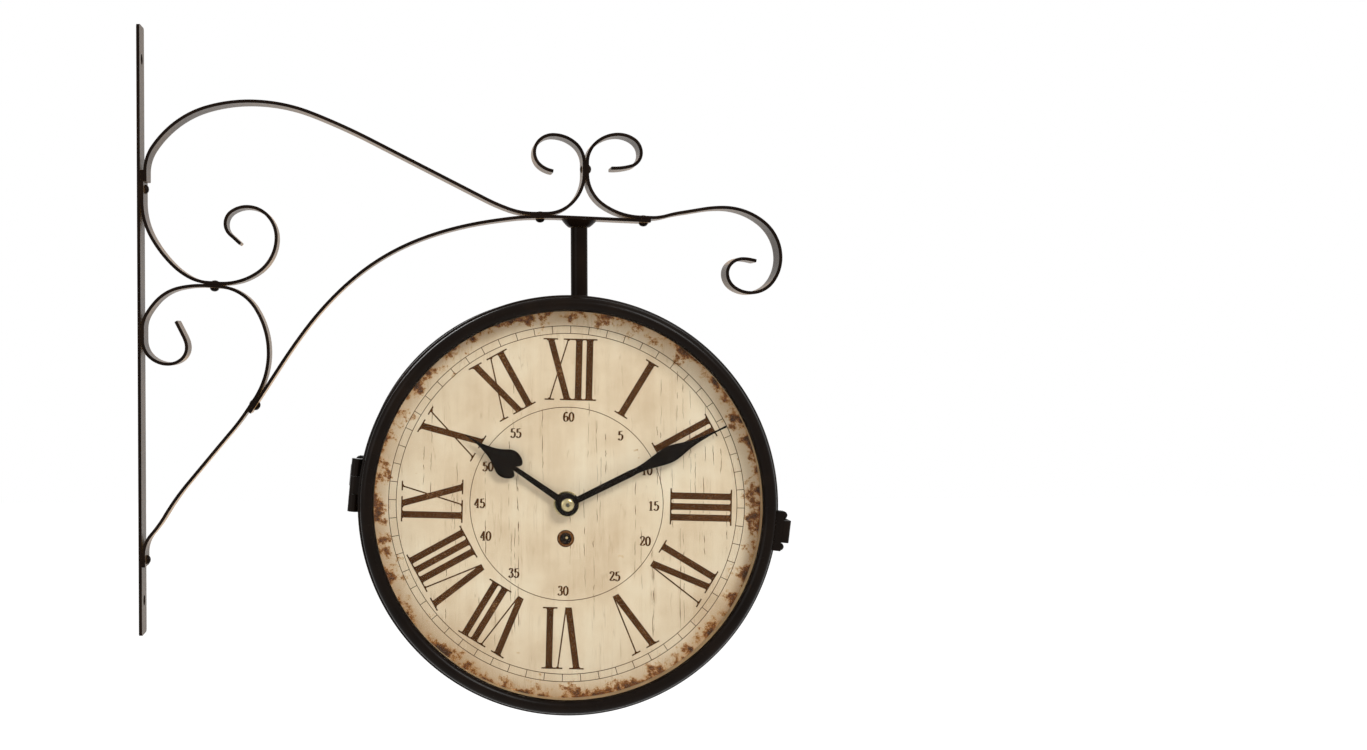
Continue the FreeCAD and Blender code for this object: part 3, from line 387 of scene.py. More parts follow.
def printed_board():
    """Paper print under old varnish on board: cream, clouded, with faint upright crazing, rusty
    blooms of 5 to 15 mm near the edge and a tan rim."""
    material, tree, shader, place = new_material("varnished_paper_on_board")
    spot = add(tree, "Mapping", {"Vector": place, "Location": (-drum_x / 1000, 0, -drum_z / 1000)})
    flat = add(tree, "VectorMath", {0: spot, 1: (1.0, 0.0, 1.0)}, operation="MULTIPLY")
    radius = add(tree, "VectorMath", {0: flat}, operation="LENGTH")
    cloud = add(tree, "TexNoise", {"Vector": spot, "Scale": 22.0, "Detail": 5.0, "Roughness": 0.6})
    # noise drawn out upwards: a faint grain, and its middle contour is a fine wandering crack
    long = add(tree, "Mapping", {"Vector": spot, "Scale": (150.0, 0.0, 9.0)})
    wander = add(tree, "TexNoise", {"Vector": long, "Scale": 1.0, "Detail": 3.0, "Roughness": 0.65})
    grain = add(tree, "MapRange", {"Value": wander, "To Min": -0.15, "To Max": 0.15})
    ground = add(tree, "Math", {0: cloud, 1: grain}, operation="ADD")
    base = add(tree, "ValToRGB", {"Fac": ground},
               stops=[(0.28, tone("#CCAE90")), (0.50, tone("#DDC3A7")), (0.76, tone("#E9D5BD"))])
    crack = add(tree, "ValToRGB", {"Fac": wander},
                stops=[(0.490, grey(0.0)), (0.50, grey(1.0)), (0.510, grey(0.0))])
    patch = add(tree, "TexNoise", {"Vector": spot, "Scale": 60.0, "Detail": 3.0})
    broken = add(tree, "MapRange", {"Value": patch, "From Min": 0.46, "From Max": 0.56,
                                    "To Min": 0.0, "To Max": 0.30})
    cracks = add(tree, "Math", {0: crack, 1: broken}, operation="MULTIPLY")
    aged = add(tree, "Mix", {"Factor": cracks, 6: base, 7: tone("#8F6238")}, data_type="RGBA")
    # rim and rusty blooms, from 100 mm out
    out = add(tree, "MapRange", {"Value": radius, "From Min": 0.100, "From Max": 0.118})
    bloom = add(tree, "TexNoise", {"Vector": spot, "Scale": 85.0, "Detail": 9.0, "Roughness": 0.74})
    reach = add(tree, "Math", {0: out, 1: 0.21, 2: -0.03}, operation="MULTIPLY_ADD")
    sum_up = add(tree, "Math", {0: bloom, 1: reach}, operation="ADD")
    rust = add(tree, "MapRange", {"Value": sum_up, "From Min": 0.615, "From Max": 0.675,
                                  "To Min": 0.0, "To Max": 0.95})
    heart = add(tree, "ValToRGB", {"Fac": sum_up},
                stops=[(0.64, tone("#BE8746")), (0.69, tone("#84491C")), (0.75, tone("#3C1E0A"))])
    tan = add(tree, "MapRange", {"Value": out, "From Min": 0.45, "From Max": 1.0, "To Min": 0.0,
                                 "To Max": 0.55})
    rim = add(tree, "Mix", {"Factor": tan, 6: aged, 7: tone("#A87C50")}, data_type="RGBA")
    stained = add(tree, "Mix", {"Factor": rust, 6: rim, 7: heart}, data_type="RGBA")
    relief = add(tree, "Bump", {"Height": cracks, "Strength": 0.4, "Distance": 0.0001}, invert=True)
    plug(tree, shader, {"Base Color": stained, "Normal": relief, "Roughness": 0.55,
                        "Specular IOR Level": 0.25})
    return material


def worn_ink(name, dark, light):
    """Brown black printing ink, thin and broken where it is worn, in specks of 0.1 to 1.5 mm."""
    material, tree, shader, place = new_material(name)
    wear = add(tree, "TexNoise", {"Vector": place, "Scale": 700.0, "Detail": 5.0, "Roughness": 0.7})
    cloud = add(tree, "TexNoise", {"Vector": place, "Scale": 70.0, "Detail": 2.0})
    lift = add(tree, "Math", {0: cloud, 1: 0.35, 2: -0.175}, operation="MULTIPLY_ADD")
    worn = add(tree, "Math", {0: wear, 1: lift}, operation="ADD")
    colour = add(tree, "ValToRGB", {"Fac": worn},
                 stops=[(0.30, tone(dark)), (0.60, tone(light)), (0.68, tone("#7A5433")),
                        (0.80, tone("#B8936A"))])
    plug(tree, shader, {"Base Color": colour, "Roughness": 0.6, "Specular IOR Level": 0.1})
    return material


def clear_glass():
    """Float glass: clear, smooth, faintly dusty, and it lets the light through to the dial. Its
    index is low, so that the dial shows through it as dark and light as it is."""
    material, tree, shader, place = new_material("float_glass")
    haze = add(tree, "TexNoise", {"Vector": place, "Scale": 30.0, "Detail": 3.0})
    smear = add(tree, "MapRange", {"Value": haze, "To Min": 0.0, "To Max": 0.02})
    plug(tree, shader, {"Base Color": tone("#FBFDFC"), "Transmission Weight": 1.0, "IOR": 1.1,
                        "Roughness": smear})
    through = add(tree, "BsdfTransparent", {"Color": tone("#F6F9F7")})
    path = add(tree, "LightPath")
    either = add(tree, "Math", {0: path.outputs["Is Shadow Ray"],
                                1: path.outputs["Is Diffuse Ray"]}, operation="MAXIMUM")
    both = add(tree, "MixShader", {0: either, 1: shader, 2: through})
    show(tree, both)
    return material


def worked_metal(name, low, high, rough, metallic, scale, bump_mm, mirror=0.5):
    """Metal that was turned, stamped or rolled, bare or under lacquer: a colour that drifts a
    little over 8 mm, and a grain of 0.5 to 1 mm that breaks up its gloss."""
    material, tree, shader, place = new_material(name)
    drift = add(tree, "TexNoise", {"Vector": place, "Scale": 120.0, "Detail": 3.0})
    grain = add(tree, "TexNoise", {"Vector": place, "Scale": scale, "Detail": 4.0})
    colour = add(tree, "ValToRGB", {"Fac": drift}, stops=[(0.35, tone(low)), (0.68, tone(high))])
    gloss = add(tree, "MapRange", {"Value": grain, "To Min": rough - 0.08, "To Max": rough + 0.12})
    relief = add(tree, "Bump", {"Height": grain, "Strength": 0.3, "Distance": bump_mm * 0.001})
    plug(tree, shader, {"Base Color": colour, "Roughness": gloss, "Normal": relief,
                        "Metallic": metallic, "Specular IOR Level": mirror})
    return material


def moulded_plastic(name, low, high, rough):
    """Moulded plastic with the fine spark texture of its tool, 0.4 mm grains."""
    material, tree, shader, place = new_material(name)
    spark = add(tree, "TexNoise", {"Vector": place, "Scale": 2200.0, "Detail": 2.0})
    cloud = add(tree, "TexNoise", {"Vector": place, "Scale": 60.0, "Detail": 3.0})
    colour = add(tree, "ValToRGB", {"Fac": cloud}, stops=[(0.35, tone(low)), (0.70, tone(high))])
    relief = add(tree, "Bump", {"Height": spark, "Strength": 0.35, "Distance": 0.00005})
    plug(tree, shader, {"Base Color": colour, "Normal": relief, "Roughness": rough, "IOR": 1.53})
    return material


bracket_enamel = enamelled_iron("brushed_enamel_on_strip", "#120B07", "#170F0A", "#20160F",
                                rough=0.22, bump_mm=0.004, mirror=0.03, waxed=0.8)
drum_enamel = enamelled_iron("stoved_enamel_on_sheet", "#0E0805", "#130C07", "#1B120B",
                             rough=0.24, bump_mm=0.01, mirror=0.06, waxed=0.05)
board_print = printed_board()
dial_ink = worn_ink("brown_printing_ink", "#341D0A", "#553217")
crack_brown = worn_ink("dirt_in_varnish_cracks", "#4E2C12", "#6E4322")
# painted shade: near-black ink on a flat disc stands for the dark depth of the winding hole
hole_painted_shade = worn_ink("painted_shade_in_winding_hole", "#0D0704", "#170D07")
# painted highlight: a pale dot that stands for a glint in the winding hole
hole_painted_highlight = worn_ink("painted_highlight_in_winding_hole", "#B89A6C", "#CDB283")
glass = clear_glass()
hand_lacquer = worked_metal("black_lacquer_on_steel", "#0C0603", "#140B05", 0.30, 0.0, 1500.0,
                            0.004, mirror=0.07)
brass = worked_metal("turned_brass", "#A08F6A", "#BCAC86", 0.16, 1.0, 1800.0, 0.02)
zinc_steel = worked_metal("zinc_plated_steel", "#8F9296", "#A9ABAD", 0.36, 1.0, 1400.0, 0.015)
# painted reflection: steel far darker than the brass shaft, so that the cap nut's middle shows the
# dark spot that its dome reflects
steel_darkened_as_reflection = worked_metal("painted_reflection_dark_steel", "#4A4640", "#5E5A52", 0.3, 1.0, 1600.0, 0.01)
ring_plastic = moulded_plastic("moulded_tan_ring", "#9C7F5E", "#B0946F", 0.45)
case_plastic = moulded_plastic("black_abs_case", "#141415", "#1C1C1E", 0.48)
knob_plastic = moulded_plastic("white_abs_knob", "#D9D7D0", "#E5E3DD", 0.42)
cell_sleeve = worked_metal("printed_foil_sleeve", "#2E4B3A", "#3A5D49", 0.3, 0.3, 900.0, 0.005)


# ---- bracket -------------------------------------------------------------------------------------
def bent_line(stations, step=1.6, step_turn=0.07):
    """Centre line of a bent strip. Each pair of stations (x, z, heading) is joined by two arcs
    of equal reach that leave and arrive along the headings. Along an arc of curvature k the
    heading is t0 + k s, so x is x0 + (sin t - sin t0) / k and z is z0 - (cos t - cos t0) / k.
    Points lie at most a step and a step of turn (in radians) apart."""
    points, headings = [], []
    for (x0, z0, t0), (x1, z1, t1) in zip(stations, stations[1:]):
        ways = np.exp(1j * np.radians([t0, t1]))
        start, end = complex(x0, z0), complex(x1, z1)
        chord = end - start
        along = (chord * np.conj(ways.sum())).real
        spread = 2 * (1 - (ways[0] * np.conj(ways[1])).real)
        if spread < 1e-9:
            reach = abs(chord) ** 2 / (2 * along)
        else:
            reach = (math.sqrt(along ** 2 + spread * abs(chord) ** 2) - along) / spread
        middle = (start + end + (ways[0] - ways[1]) * reach) / 2
        here, way = start, ways[0]
        for target in (middle, end):
            gap = (target - here) * np.conj(way)
            turn = 2 * math.atan2(gap.imag, gap.real)
            length = abs(gap) * (turn / 2 / math.sin(turn / 2) if abs(turn) > 1e-6 else 1.0)
            count = max(2, math.ceil(max(length / step, abs(turn) / step_turn)))
            share = np.linspace(0, 1, count, endpoint=False)
            swing = turn * share
            ratio = np.where(np.abs(swing) > 1e-9,
                             np.sin(swing / 2) / np.where(swing == 0, 1, swing / 2), 1.0)
            points.append(here + way * np.exp(0.5j * swing) * ratio * length * share)
            headings.append(way * np.exp(1j * swing))
            here, way = target, way * np.exp(1j * turn)
    points.append(np.array([here]))
    headings.append(np.array([way]))
    return np.concatenate(points), np.concatenate(headings)


def closer_at_ends(points, headings, near):
    """Line with extra points close to both ends, where its corners are rounded: place and
    heading are read off in proportion to the length run."""
    length = np.concatenate([[0], np.cumsum(np.abs(np.diff(points)))])
    wanted = np.unique(np.concatenate([length, near, length[-1] - near]).round(6))
    keep = np.concatenate([[True], np.diff(wanted) > 0.01])
    wanted = wanted[keep]
    turned = np.unwrap(np.angle(headings))
    x = np.interp(wanted, length, points.real)
    z = np.interp(wanted, length, points.imag)
    angle = np.interp(wanted, length, turned)
    return x + 1j * z, np.exp(1j * angle), np.minimum(wanted, length[-1] - wanted)


def rounding(distance, radius):
    """How far an edge draws back at a distance d from an end whose corner has radius r:
    r less the square root of r squared less (r - d) squared."""
    short = np.clip(radius - distance, 0, radius)
    return radius - np.sqrt(radius ** 2 - short ** 2)


def strip_shell(stations):
    """Flat strip: a rectangle with eased edges carried along the bent line, on edge, narrower
    over the last 1.5 mm and thinner over the last 0.35 mm at both ends."""
    near = np.array([0.0, 0.04, 0.12, 0.24, 0.35, 0.6, 0.9, 1.2, 1.5])
    points, headings, distance = closer_at_ends(*bent_line(stations), near)
    left = headings * 1j
    half_wide = strip_half_wide - rounding(distance, strip_corner_r)
    half_thick = strip_half_thick - rounding(distance, strip_edge_r)
    quarter = np.radians(np.array([0, 22.5, 45, 67.5, 90]))
    out_y, out_t, sign_y, sign_t = [], [], [], []
    for sy, st, flip in ((1, 1, False), (-1, 1, True), (-1, -1, False), (1, -1, True)):
        ease_y = strip_edge_r * np.cos(quarter)
        ease_t = strip_edge_r * np.sin(quarter)
        y_line = np.concatenate([ease_y, [-0.5]])
        t_line = np.concatenate([ease_t, [strip_edge_r]])
        order = slice(None, None, -1) if flip else slice(None)
        out_y.append(sy * y_line[order])
        out_t.append(st * t_line[order])
        sign_y.append(np.full(6, sy))
        sign_t.append(np.full(6, st))
    out_y, out_t = np.concatenate(out_y), np.concatenate(out_t)
    sign_y, sign_t = np.concatenate(sign_y), np.concatenate(sign_t)
    y = np.outer(half_wide - strip_edge_r, sign_y) + out_y
    t = np.outer(half_thick - strip_edge_r, sign_t) + out_t
    middle = points[:, None] + left[:, None] * t
    return grid_shell(np.stack([middle.real, y, middle.imag], axis=-1), caps=True)


def rivet_shell(base, way, grip, sunk_tail):
    """Snap head, shank and tail in one turned outline. The head is a flattened ball: radius
    head_r sin a, height head_high cos a. A sunk tail is the shank's own flush end."""
    angle = np.radians(np.linspace(90, 4, 10))
    head = np.column_stack([head_r * np.sin(angle), head_high * np.cos(angle)])
    back = angle[::-1]
    tail = np.column_stack([tail_r * np.sin(back), -grip - tail_high * np.cos(back)])
    if sunk_tail:
        tail = np.array([[axis_r, -grip - tail_sunk], [shank_r, -grip - tail_sunk]])
    shank = [[shank_r, -grip + 0.02], [shank_r, -head_sunk]]
    rim = [[head_r - head_sunk, -head_sunk]]
    return stand(lathe(np.concatenate([tail, shank, rim, head]), 32), base, way)


def bracket_piece(name, shells, node):
    """A piece of the bracket or the post, in the bracket's enamel."""
    make_piece(name, shells, bracket_enamel, fixed_body, (node,))


for name, stations in strips.items():
    bracket_piece(name + "_strip", [strip_shell(stations)], name)
eased_copy("wall_bar", bracket_enamel, fixed_body, 0.35, 3)
bracket_piece("scroll_rivet_heads", [rivet_shell(*place, False) for place in scroll_rivets],
              "scroll_rivets")
bracket_piece("wall_rivet_heads", [rivet_shell(*place, True) for place in wall_rivets],
              "wall_rivets")


# ---- hanging post --------------------------------------------------------------------------------
def post_shell():
    """Stud, shoulder and round post as one turned outline, closed above inside the arm."""
    low = drum_top_z - stud_below
    top = arm_under_z + 0.5
    outline = [(axis_r, low), (stud_r - 0.4, low), (stud_r, low + 0.4), (stud_r, drum_top_z - 1.4),
               (stud_r, drum_top_z - 1.3), (post_r, drum_top_z - 1.3), (post_r, drum_top_z - 0.6),
               (post_r, drum_top_z + 20), (post_r, top), (axis_r, top)]
    points, faces = lathe(outline, 64)
    return points + np.array([post_x, 0, 0]), faces


def top_collar_shell():
    """Bell: its radius grows from the post to the arm with the height to the power 0.8, and its
    upper rim leans with the arm."""
    share = np.linspace(0, 1, 14)
    radius = bell_foot_r + bell_flare * share ** 0.8
    height = arm_under_z - bell_high + 4.25 * share
    foot = [(collar_bore_r, height[0]), (bell_foot_r - 0.3, height[0])]
    rim = [(11.0, arm_under_z - 0.1), (10.9, arm_under_z + 0.3), (collar_bore_r, arm_under_z + 0.3)]
    points, faces = lathe(np.concatenate([foot, np.column_stack([radius, height]), rim]), 64,
                          loop=True)
    x, y, z = points.T
    lean = np.clip((z - height[0]) / bell_high, 0, 1) * x * arm_slope
    return np.column_stack([x + post_x, y, z + lean]), faces


def foot_collar_shell():
    """Low cone with a rounded shoulder. Its foot follows the drum's circle, and its height
    above it blends to a level top in proportion."""
    outline = np.array([(collar_bore_r, -0.5), (6.7, -0.5), (6.8, 0.2), (6.75, 0.7), (6.5, 1.3),
                        (6.05, 2.0), (5.7, 2.35), (5.3, cone_high), (collar_bore_r, cone_high)])
    points, faces = lathe(outline, 64, loop=True)
    x = points[:, 0] + post_x
    bed = drum_z + np.sqrt(drum_r ** 2 - (x - drum_x) ** 2)
    share = np.clip(points[:, 2] / cone_high, 0, 1)
    z = points[:, 2] + bed * (1 - share) + drum_top_z * share
    return np.column_stack([x, points[:, 1], z]), faces


bracket_piece("hanger_post_turned", [post_shell()], "hanger_post")
bracket_piece("post_bell_collar", [top_collar_shell()], "post_top_collar")
bracket_piece("post_foot_cone", [foot_collar_shell()], "post_foot_collar")
eased_copy("post_washer", zinc_steel, fixed_body, 0.2)
eased_copy("post_nut", zinc_steel, fixed_body, 0.35)


# ---- drum ----------------------------------------------------------------------------------------
def drum_outline():
    """Sheet wall with a half round bead at each rim, as (radius, distance out)."""
    inner = drum_r - drum_sheet
    middle = drum_half - rim_bead_r
    upper = arc((drum_r, middle), rim_bead_r, 90, -90, 11)
    lower = arc((drum_r, -middle), rim_bead_r, 90, -90, 11)
    wall = [(drum_r, v) for v in (middle - 1.4, 12, -12, 1.4 - middle)]
    ease = 0.2
    inside = [(inner + ease, -drum_half), (inner, -drum_half + ease), (inner, -drum_half + 1),
              (inner, 0), (inner, drum_half - 1), (inner, drum_half - ease),
              (inner + ease, drum_half)]
    return np.concatenate([upper, wall, lower, inside])


make_piece("drum_wall", [at_face(about_drum(drum_outline(), rim_turns), "front")], drum_enamel,
           fixed_body, ("drum_shell",))
eased_copy("hinge_rivets", drum_enamel, fixed_body, 0)
eased_copy("strike_screws", zinc_steel, fixed_body, 0)


# ---- door: bezel, glass, ring, dial --------------------------------------------------------------
def bezel_outline():
    """Skirt, half round bead, half round roll and the hollow behind, as (radius, distance out)."""
    edge = [(skirt_r - 0.8, door_back), (skirt_r - 0.2, door_back), (skirt_r, door_back + 0.2),
            (skirt_r, door_back + 1.0), (skirt_r, skirt_bead_out - skirt_bead_r - 0.5)]
    bead = arc((skirt_r, skirt_bead_out), skirt_bead_r, -90, 90, 13)
    roll = arc((roll_mid_r, roll_mid_out), roll_r, 0, 180, 33)
    hollow = arc((roll_mid_r, roll_mid_out), roll_r - bezel_wall, 180, 0, 17)
    back = [(skirt_r - bezel_wall, door_back + 1.0), (skirt_r - bezel_wall, door_back + 0.1)]
    return np.concatenate([edge, bead, roll, hollow, back])


def disc_outline(radius, low, high, ease, hole=None):
    """Disc, or ring round a hole, with eased outer corners, as (radius, distance out)."""
    inner = hole or 0.6
    part = 0.3 * ease
    return [(inner, low), (radius - 3 * ease, low), (radius - ease, low),
            (radius - part, low + part), (radius, low + ease), (radius, high - ease),
            (radius - part, high - part), (radius - ease, high), (radius - 3 * ease, high),
            (inner, high)]


# ---- dial print ----------------------------------------------------------------------------------
def rolled(points, deg):
    """Flat points (x, z) turned clockwise by deg: x cos a + z sin a, z cos a - x sin a."""
    angle = math.radians(deg)
    turn = np.array([[math.cos(angle), -math.sin(angle)], [math.sin(angle), math.cos(angle)]])
    return np.asarray(points, float) @ turn


def print_plates(outlines):
    """Printed shapes as thin plates. Each is a hair higher than the one before it, so that none
    shares a face with another where they cross."""
    return [plate_shell(outline, print_low_out, print_top_out + print_step * i)
            for i, outline in enumerate(outlines)]


def print_ring(inner, outer, turns):
    """Printed circle: a flat band between two radii, turned about the dial's middle."""
    return about_drum([(inner, print_low_out), (outer, print_low_out), (outer, print_top_out),
                       (inner, print_top_out)], turns)


def slanted(x_foot, x_top, wide, foot, top):
    """Stroke between two level cuts: a parallelogram of even width, measured level."""
    return [(x_foot - wide / 2, foot), (x_foot + wide / 2, foot), (x_top + wide / 2, top),
            (x_top - wide / 2, top)]


def numeral_strokes(letters):
    """Strokes of a Roman numeral about x = 0: (x at the foot, x at the top, width). X and V have
    a thick stroke falling to the right and a thin one rising to the right."""
    spans = {"I": thick_stroke, "V": 14.2, "X": 14.8}
    gap = upright_pitch - thick_stroke
    total = sum(spans[letter] for letter in letters) + gap * (len(letters) - 1)
    left = -total / 2
    strokes = []
    for letter in letters:
        middle = left + spans[letter] / 2
        reach = (spans[letter] - thick_stroke) / 2
        if letter == "I":
            strokes.append((middle, middle, thick_stroke))
        elif letter == "V":
            strokes.append((middle + 0.6, middle - reach, thick_stroke))
            strokes.append((middle + 2.0, middle + reach + 1.2, thin_stroke))
        else:
            strokes.append((middle + reach, middle - reach, thick_stroke))
            strokes.append((middle - reach, middle + reach, thin_stroke))
        left += spans[letter] + gap
    return strokes


def numeral_plates(letters, hour):
    """A numeral with its feet towards the dial's middle: strokes, then a thin serif with small
    brackets at each stroke's ends."""
    plates = []
    for foot_x, top_x, wide in numeral_strokes(letters):
        plates.append(slanted(foot_x, top_x, wide, numeral_foot_r, numeral_top_r))
        half = 4.4 if wide > 2 else 2.9
        shown = [(top_x, numeral_top_r, -1)]
        if "V" not in letters or foot_x == top_x:
            shown.append((foot_x, numeral_foot_r, 1))
        for x, level, way in shown:
            bar = level + way * thin_stroke
            plates.append([(x - half, level), (x + half, level), (x + half, bar), (x - half, bar)])
            bracket = bar + way * 0.6
            spread = wide / 2 + 0.6
            plates.append([(x - spread, bar), (x + spread, bar), (x + wide / 2 - 0.05, bracket),
                           (x - wide / 2 + 0.05, bracket)])
    return print_plates([rolled(plate, 30 * hour + print_roll_deg) for plate in plates])


# centre lines of the figures in a box one unit high, each a smooth line through its points
figures = {
    "0": [[(0.25, 1.0), (0.08, 0.82), (0.03, 0.5), (0.08, 0.18), (0.25, 0.0), (0.42, 0.18),
           (0.47, 0.5), (0.42, 0.82), (0.25, 1.0)]],
    "1": [[(0.12, 0.80), (0.20, 0.88), (0.28, 1.0)], [(0.28, 1.0), (0.28, 0.5), (0.28, 0.0)],
          [(0.10, 0.0), (0.28, 0.0), (0.46, 0.0)]],
    "2": [[(0.06, 0.76), (0.12, 0.94), (0.27, 1.0), (0.43, 0.90), (0.42, 0.68), (0.25, 0.38),
           (0.04, 0.03)],
          [(0.04, 0.03), (0.26, 0.03), (0.47, 0.05)], [(0.47, 0.05), (0.48, 0.14), (0.49, 0.22)]],
    "3": [[(0.08, 0.82), (0.18, 0.98), (0.34, 0.97), (0.42, 0.80), (0.34, 0.60), (0.20, 0.54)],
          [(0.20, 0.54), (0.40, 0.46), (0.46, 0.24), (0.34, 0.03), (0.14, 0.02), (0.04, 0.18)]],
    "4": [[(0.36, 1.0), (0.20, 0.64), (0.02, 0.28)], [(0.02, 0.28), (0.26, 0.28), (0.50, 0.28)],
          [(0.36, 1.0), (0.36, 0.5), (0.36, 0.0)], [(0.22, 0.0), (0.36, 0.0), (0.50, 0.0)]],
    "5": [[(0.12, 0.98), (0.28, 0.97), (0.44, 1.0)], [(0.12, 0.98), (0.11, 0.78), (0.09, 0.56)],
          [(0.09, 0.56), (0.28, 0.63), (0.45, 0.48), (0.44, 0.20), (0.27, 0.0), (0.09, 0.06),
           (0.04, 0.18)]],
    "6": [[(0.42, 0.88), (0.30, 1.0), (0.12, 0.84), (0.04, 0.45), (0.10, 0.10), (0.26, 0.0),
           (0.42, 0.10), (0.46, 0.30), (0.38, 0.52), (0.24, 0.56), (0.08, 0.40)]],
}


def brush_plate(points, high, thin, thick):
    """One stroke of a broad pen: a smooth line through its points, made by a cubic between each
    pair whose slopes come from their neighbours, and wider where it runs upright."""
    path = np.asarray(points, float) * high
    slopes = np.gradient(path, axis=0)
    share = np.linspace(0, 1, 7)[None, :, None]
    p0, p1 = path[:-1, None], path[1:, None]
    m0, m1 = slopes[:-1, None], slopes[1:, None]
    line = ((2 * share ** 3 - 3 * share ** 2 + 1) * p0 + (share ** 3 - 2 * share ** 2 + share) * m0
            + (3 * share ** 2 - 2 * share ** 3) * p1 + (share ** 3 - share ** 2) * m1)
    line = np.concatenate([line[:, :-1].reshape(-1, 2), path[-1:]])
    way = np.gradient(line, axis=0)
    way /= np.linalg.norm(way, axis=1, keepdims=True)
    half = (thin + (thick - thin) * np.abs(way[:, 1:2]) ** 1.6) / 2
    across = np.column_stack([-way[:, 1], way[:, 0]]) * half
    return np.concatenate([line + across, (line - across)[::-1]])


def minute_figures():
    """Upright figures 5 to 60 round the inner circle, each number with its middle at its own
    angle on one circle."""
    advance = 0.62 * figure_high
    shells = []
    for i, place_deg in enumerate(minute_angles, 1):
        text = str(5 * i)
        angle = math.radians(place_deg)
        middle = minute_ring_r * np.array([math.sin(angle), math.cos(angle)])
        start = -(len(text) * advance - 0.12 * figure_high) / 2
        plates = []
        for place, figure in enumerate(text):
            corner = middle + np.array([start + place * advance, -figure_high / 2])
            for stroke in figures[figure]:
                drawn = brush_plate(stroke, figure_high, pen_thin, pen_thick) + corner
                plates.append(rolled(drawn, print_roll_deg))
        shells += print_plates(plates)
    return shells


def tick_plates():
    """Sixty short lines between the two circles of the minute track."""
    one = slanted(0, 0, line_wide, *track_r)
    return [plate_shell(rolled(one, 6 * i + print_roll_deg), print_low_out,
                        print_top_out - print_step) for i in range(60)]


def round_plate(radius, x, z, raised):
    """Flat disc, x and z from the winding hole's middle, a step above the print: the rust round the
    hole, the painted shade in it and its painted highlight.
    """
    angle = np.linspace(0, 2 * np.pi, 48, endpoint=False)
    outline = np.column_stack([x + radius * np.cos(angle),
                               z - winding_drop + radius * np.sin(angle)])
    return plate_shell(rolled(outline, print_roll_deg), print_low_out, print_top_out + raised)


def crack_plates():
    """Cracks in the varnish: upright lines whose x wanders as a running sum of small steps,
    up to 0.5 mm wide, tapered to both ends and broken into lengths of 3 to 14 mm."""
    chance = np.random.default_rng(41)
    plates = []
    for x in chance.uniform(-98, 98, 46):
        reach = math.sqrt(crack_field_r ** 2 - x ** 2)
        z = chance.uniform(-reach, reach * 0.6)
        for _ in range(chance.integers(2, 6)):
            long = chance.uniform(3, 14)
            if z + long > reach:
                break
            share = np.linspace(0, 1, 12)
            drift = np.cumsum(chance.normal(0, 0.09, 12))
            taper = chance.uniform(0.07, 0.22) * np.sin(np.pi * share) ** 0.6
            half = taper * chance.uniform(0.5, 1.0, 12) + 0.02
            line = x + drift
            x = float(line[-1])
            up = z + long * share
            left, right = np.column_stack([line - half, up]), np.column_stack([line + half, up])
            plates.append(plate_shell(np.concatenate([right, left[::-1]]), print_low_out,
                                      dial_face + print_high / 2))
            z += long + chance.uniform(0.4, 7)
    return plates


def dial_print():
    """Circles, minute track, figures, hours and the ring round the winding hole, whose middle
    lies straight under the dial's before the print is turned."""
    shells = [print_ring(radius - line_wide / 2, radius + line_wide / 2, 240)
              for radius in (*track_r, inner_circle_r)]
    shells += tick_plates() + minute_figures()
    for hour, letters in enumerate(roman, 1):
        shells += numeral_plates(letters, hour)
    points, faces = print_ring(winding_ring_r - winding_ring_wide, winding_ring_r, 64)
    x, z = rolled([(0, -winding_drop)], print_roll_deg)[0]
    return shells + [(points + np.array([x, 0, z]), faces)]


# ---- hands' centre -------------------------------------------------------------------------------
def cap_nut_outline():
    """Round brass nut: foot, straight side, a dome (radius 3.75 cos a, height sin a) and a turned
    hollow in its middle, as (radius, distance out)."""
    foot = [(1.6, 0), (3.5, 0), (3.85, 0.25), (3.95, 0.5), (3.9, 1.4)]
    dome = arc((0.0, 0.0), 1.0, 0, 68, 8) * np.array([3.75, 1.0]) + np.array([0, 1.5])
    hollow = [(1.3, 2.42), (1.22, 2.35), (1.2, 1.75), (0.6, 1.7)]
    return np.concatenate([foot, dome, hollow]) + np.array([0, nut_seat])


def shaft_tip_outline():
    """Low cap in the hollow of the nut: radius 1.12 cos a, height 0.35 sin a over its edge. Its
    shape is the shaft's end, and its dark steel is a painted reflection: the dark spot that the
    nut's dome shows in its middle.
    """
    cap = arc((0.0, 0.0), 1.0, 0, 80, 6) * np.array([1.12, 0.35]) + np.array([0, 0.15])
    return np.concatenate([[(0.5, 0), (1.05, 0)], cap]) + np.array([0, tip_foot])


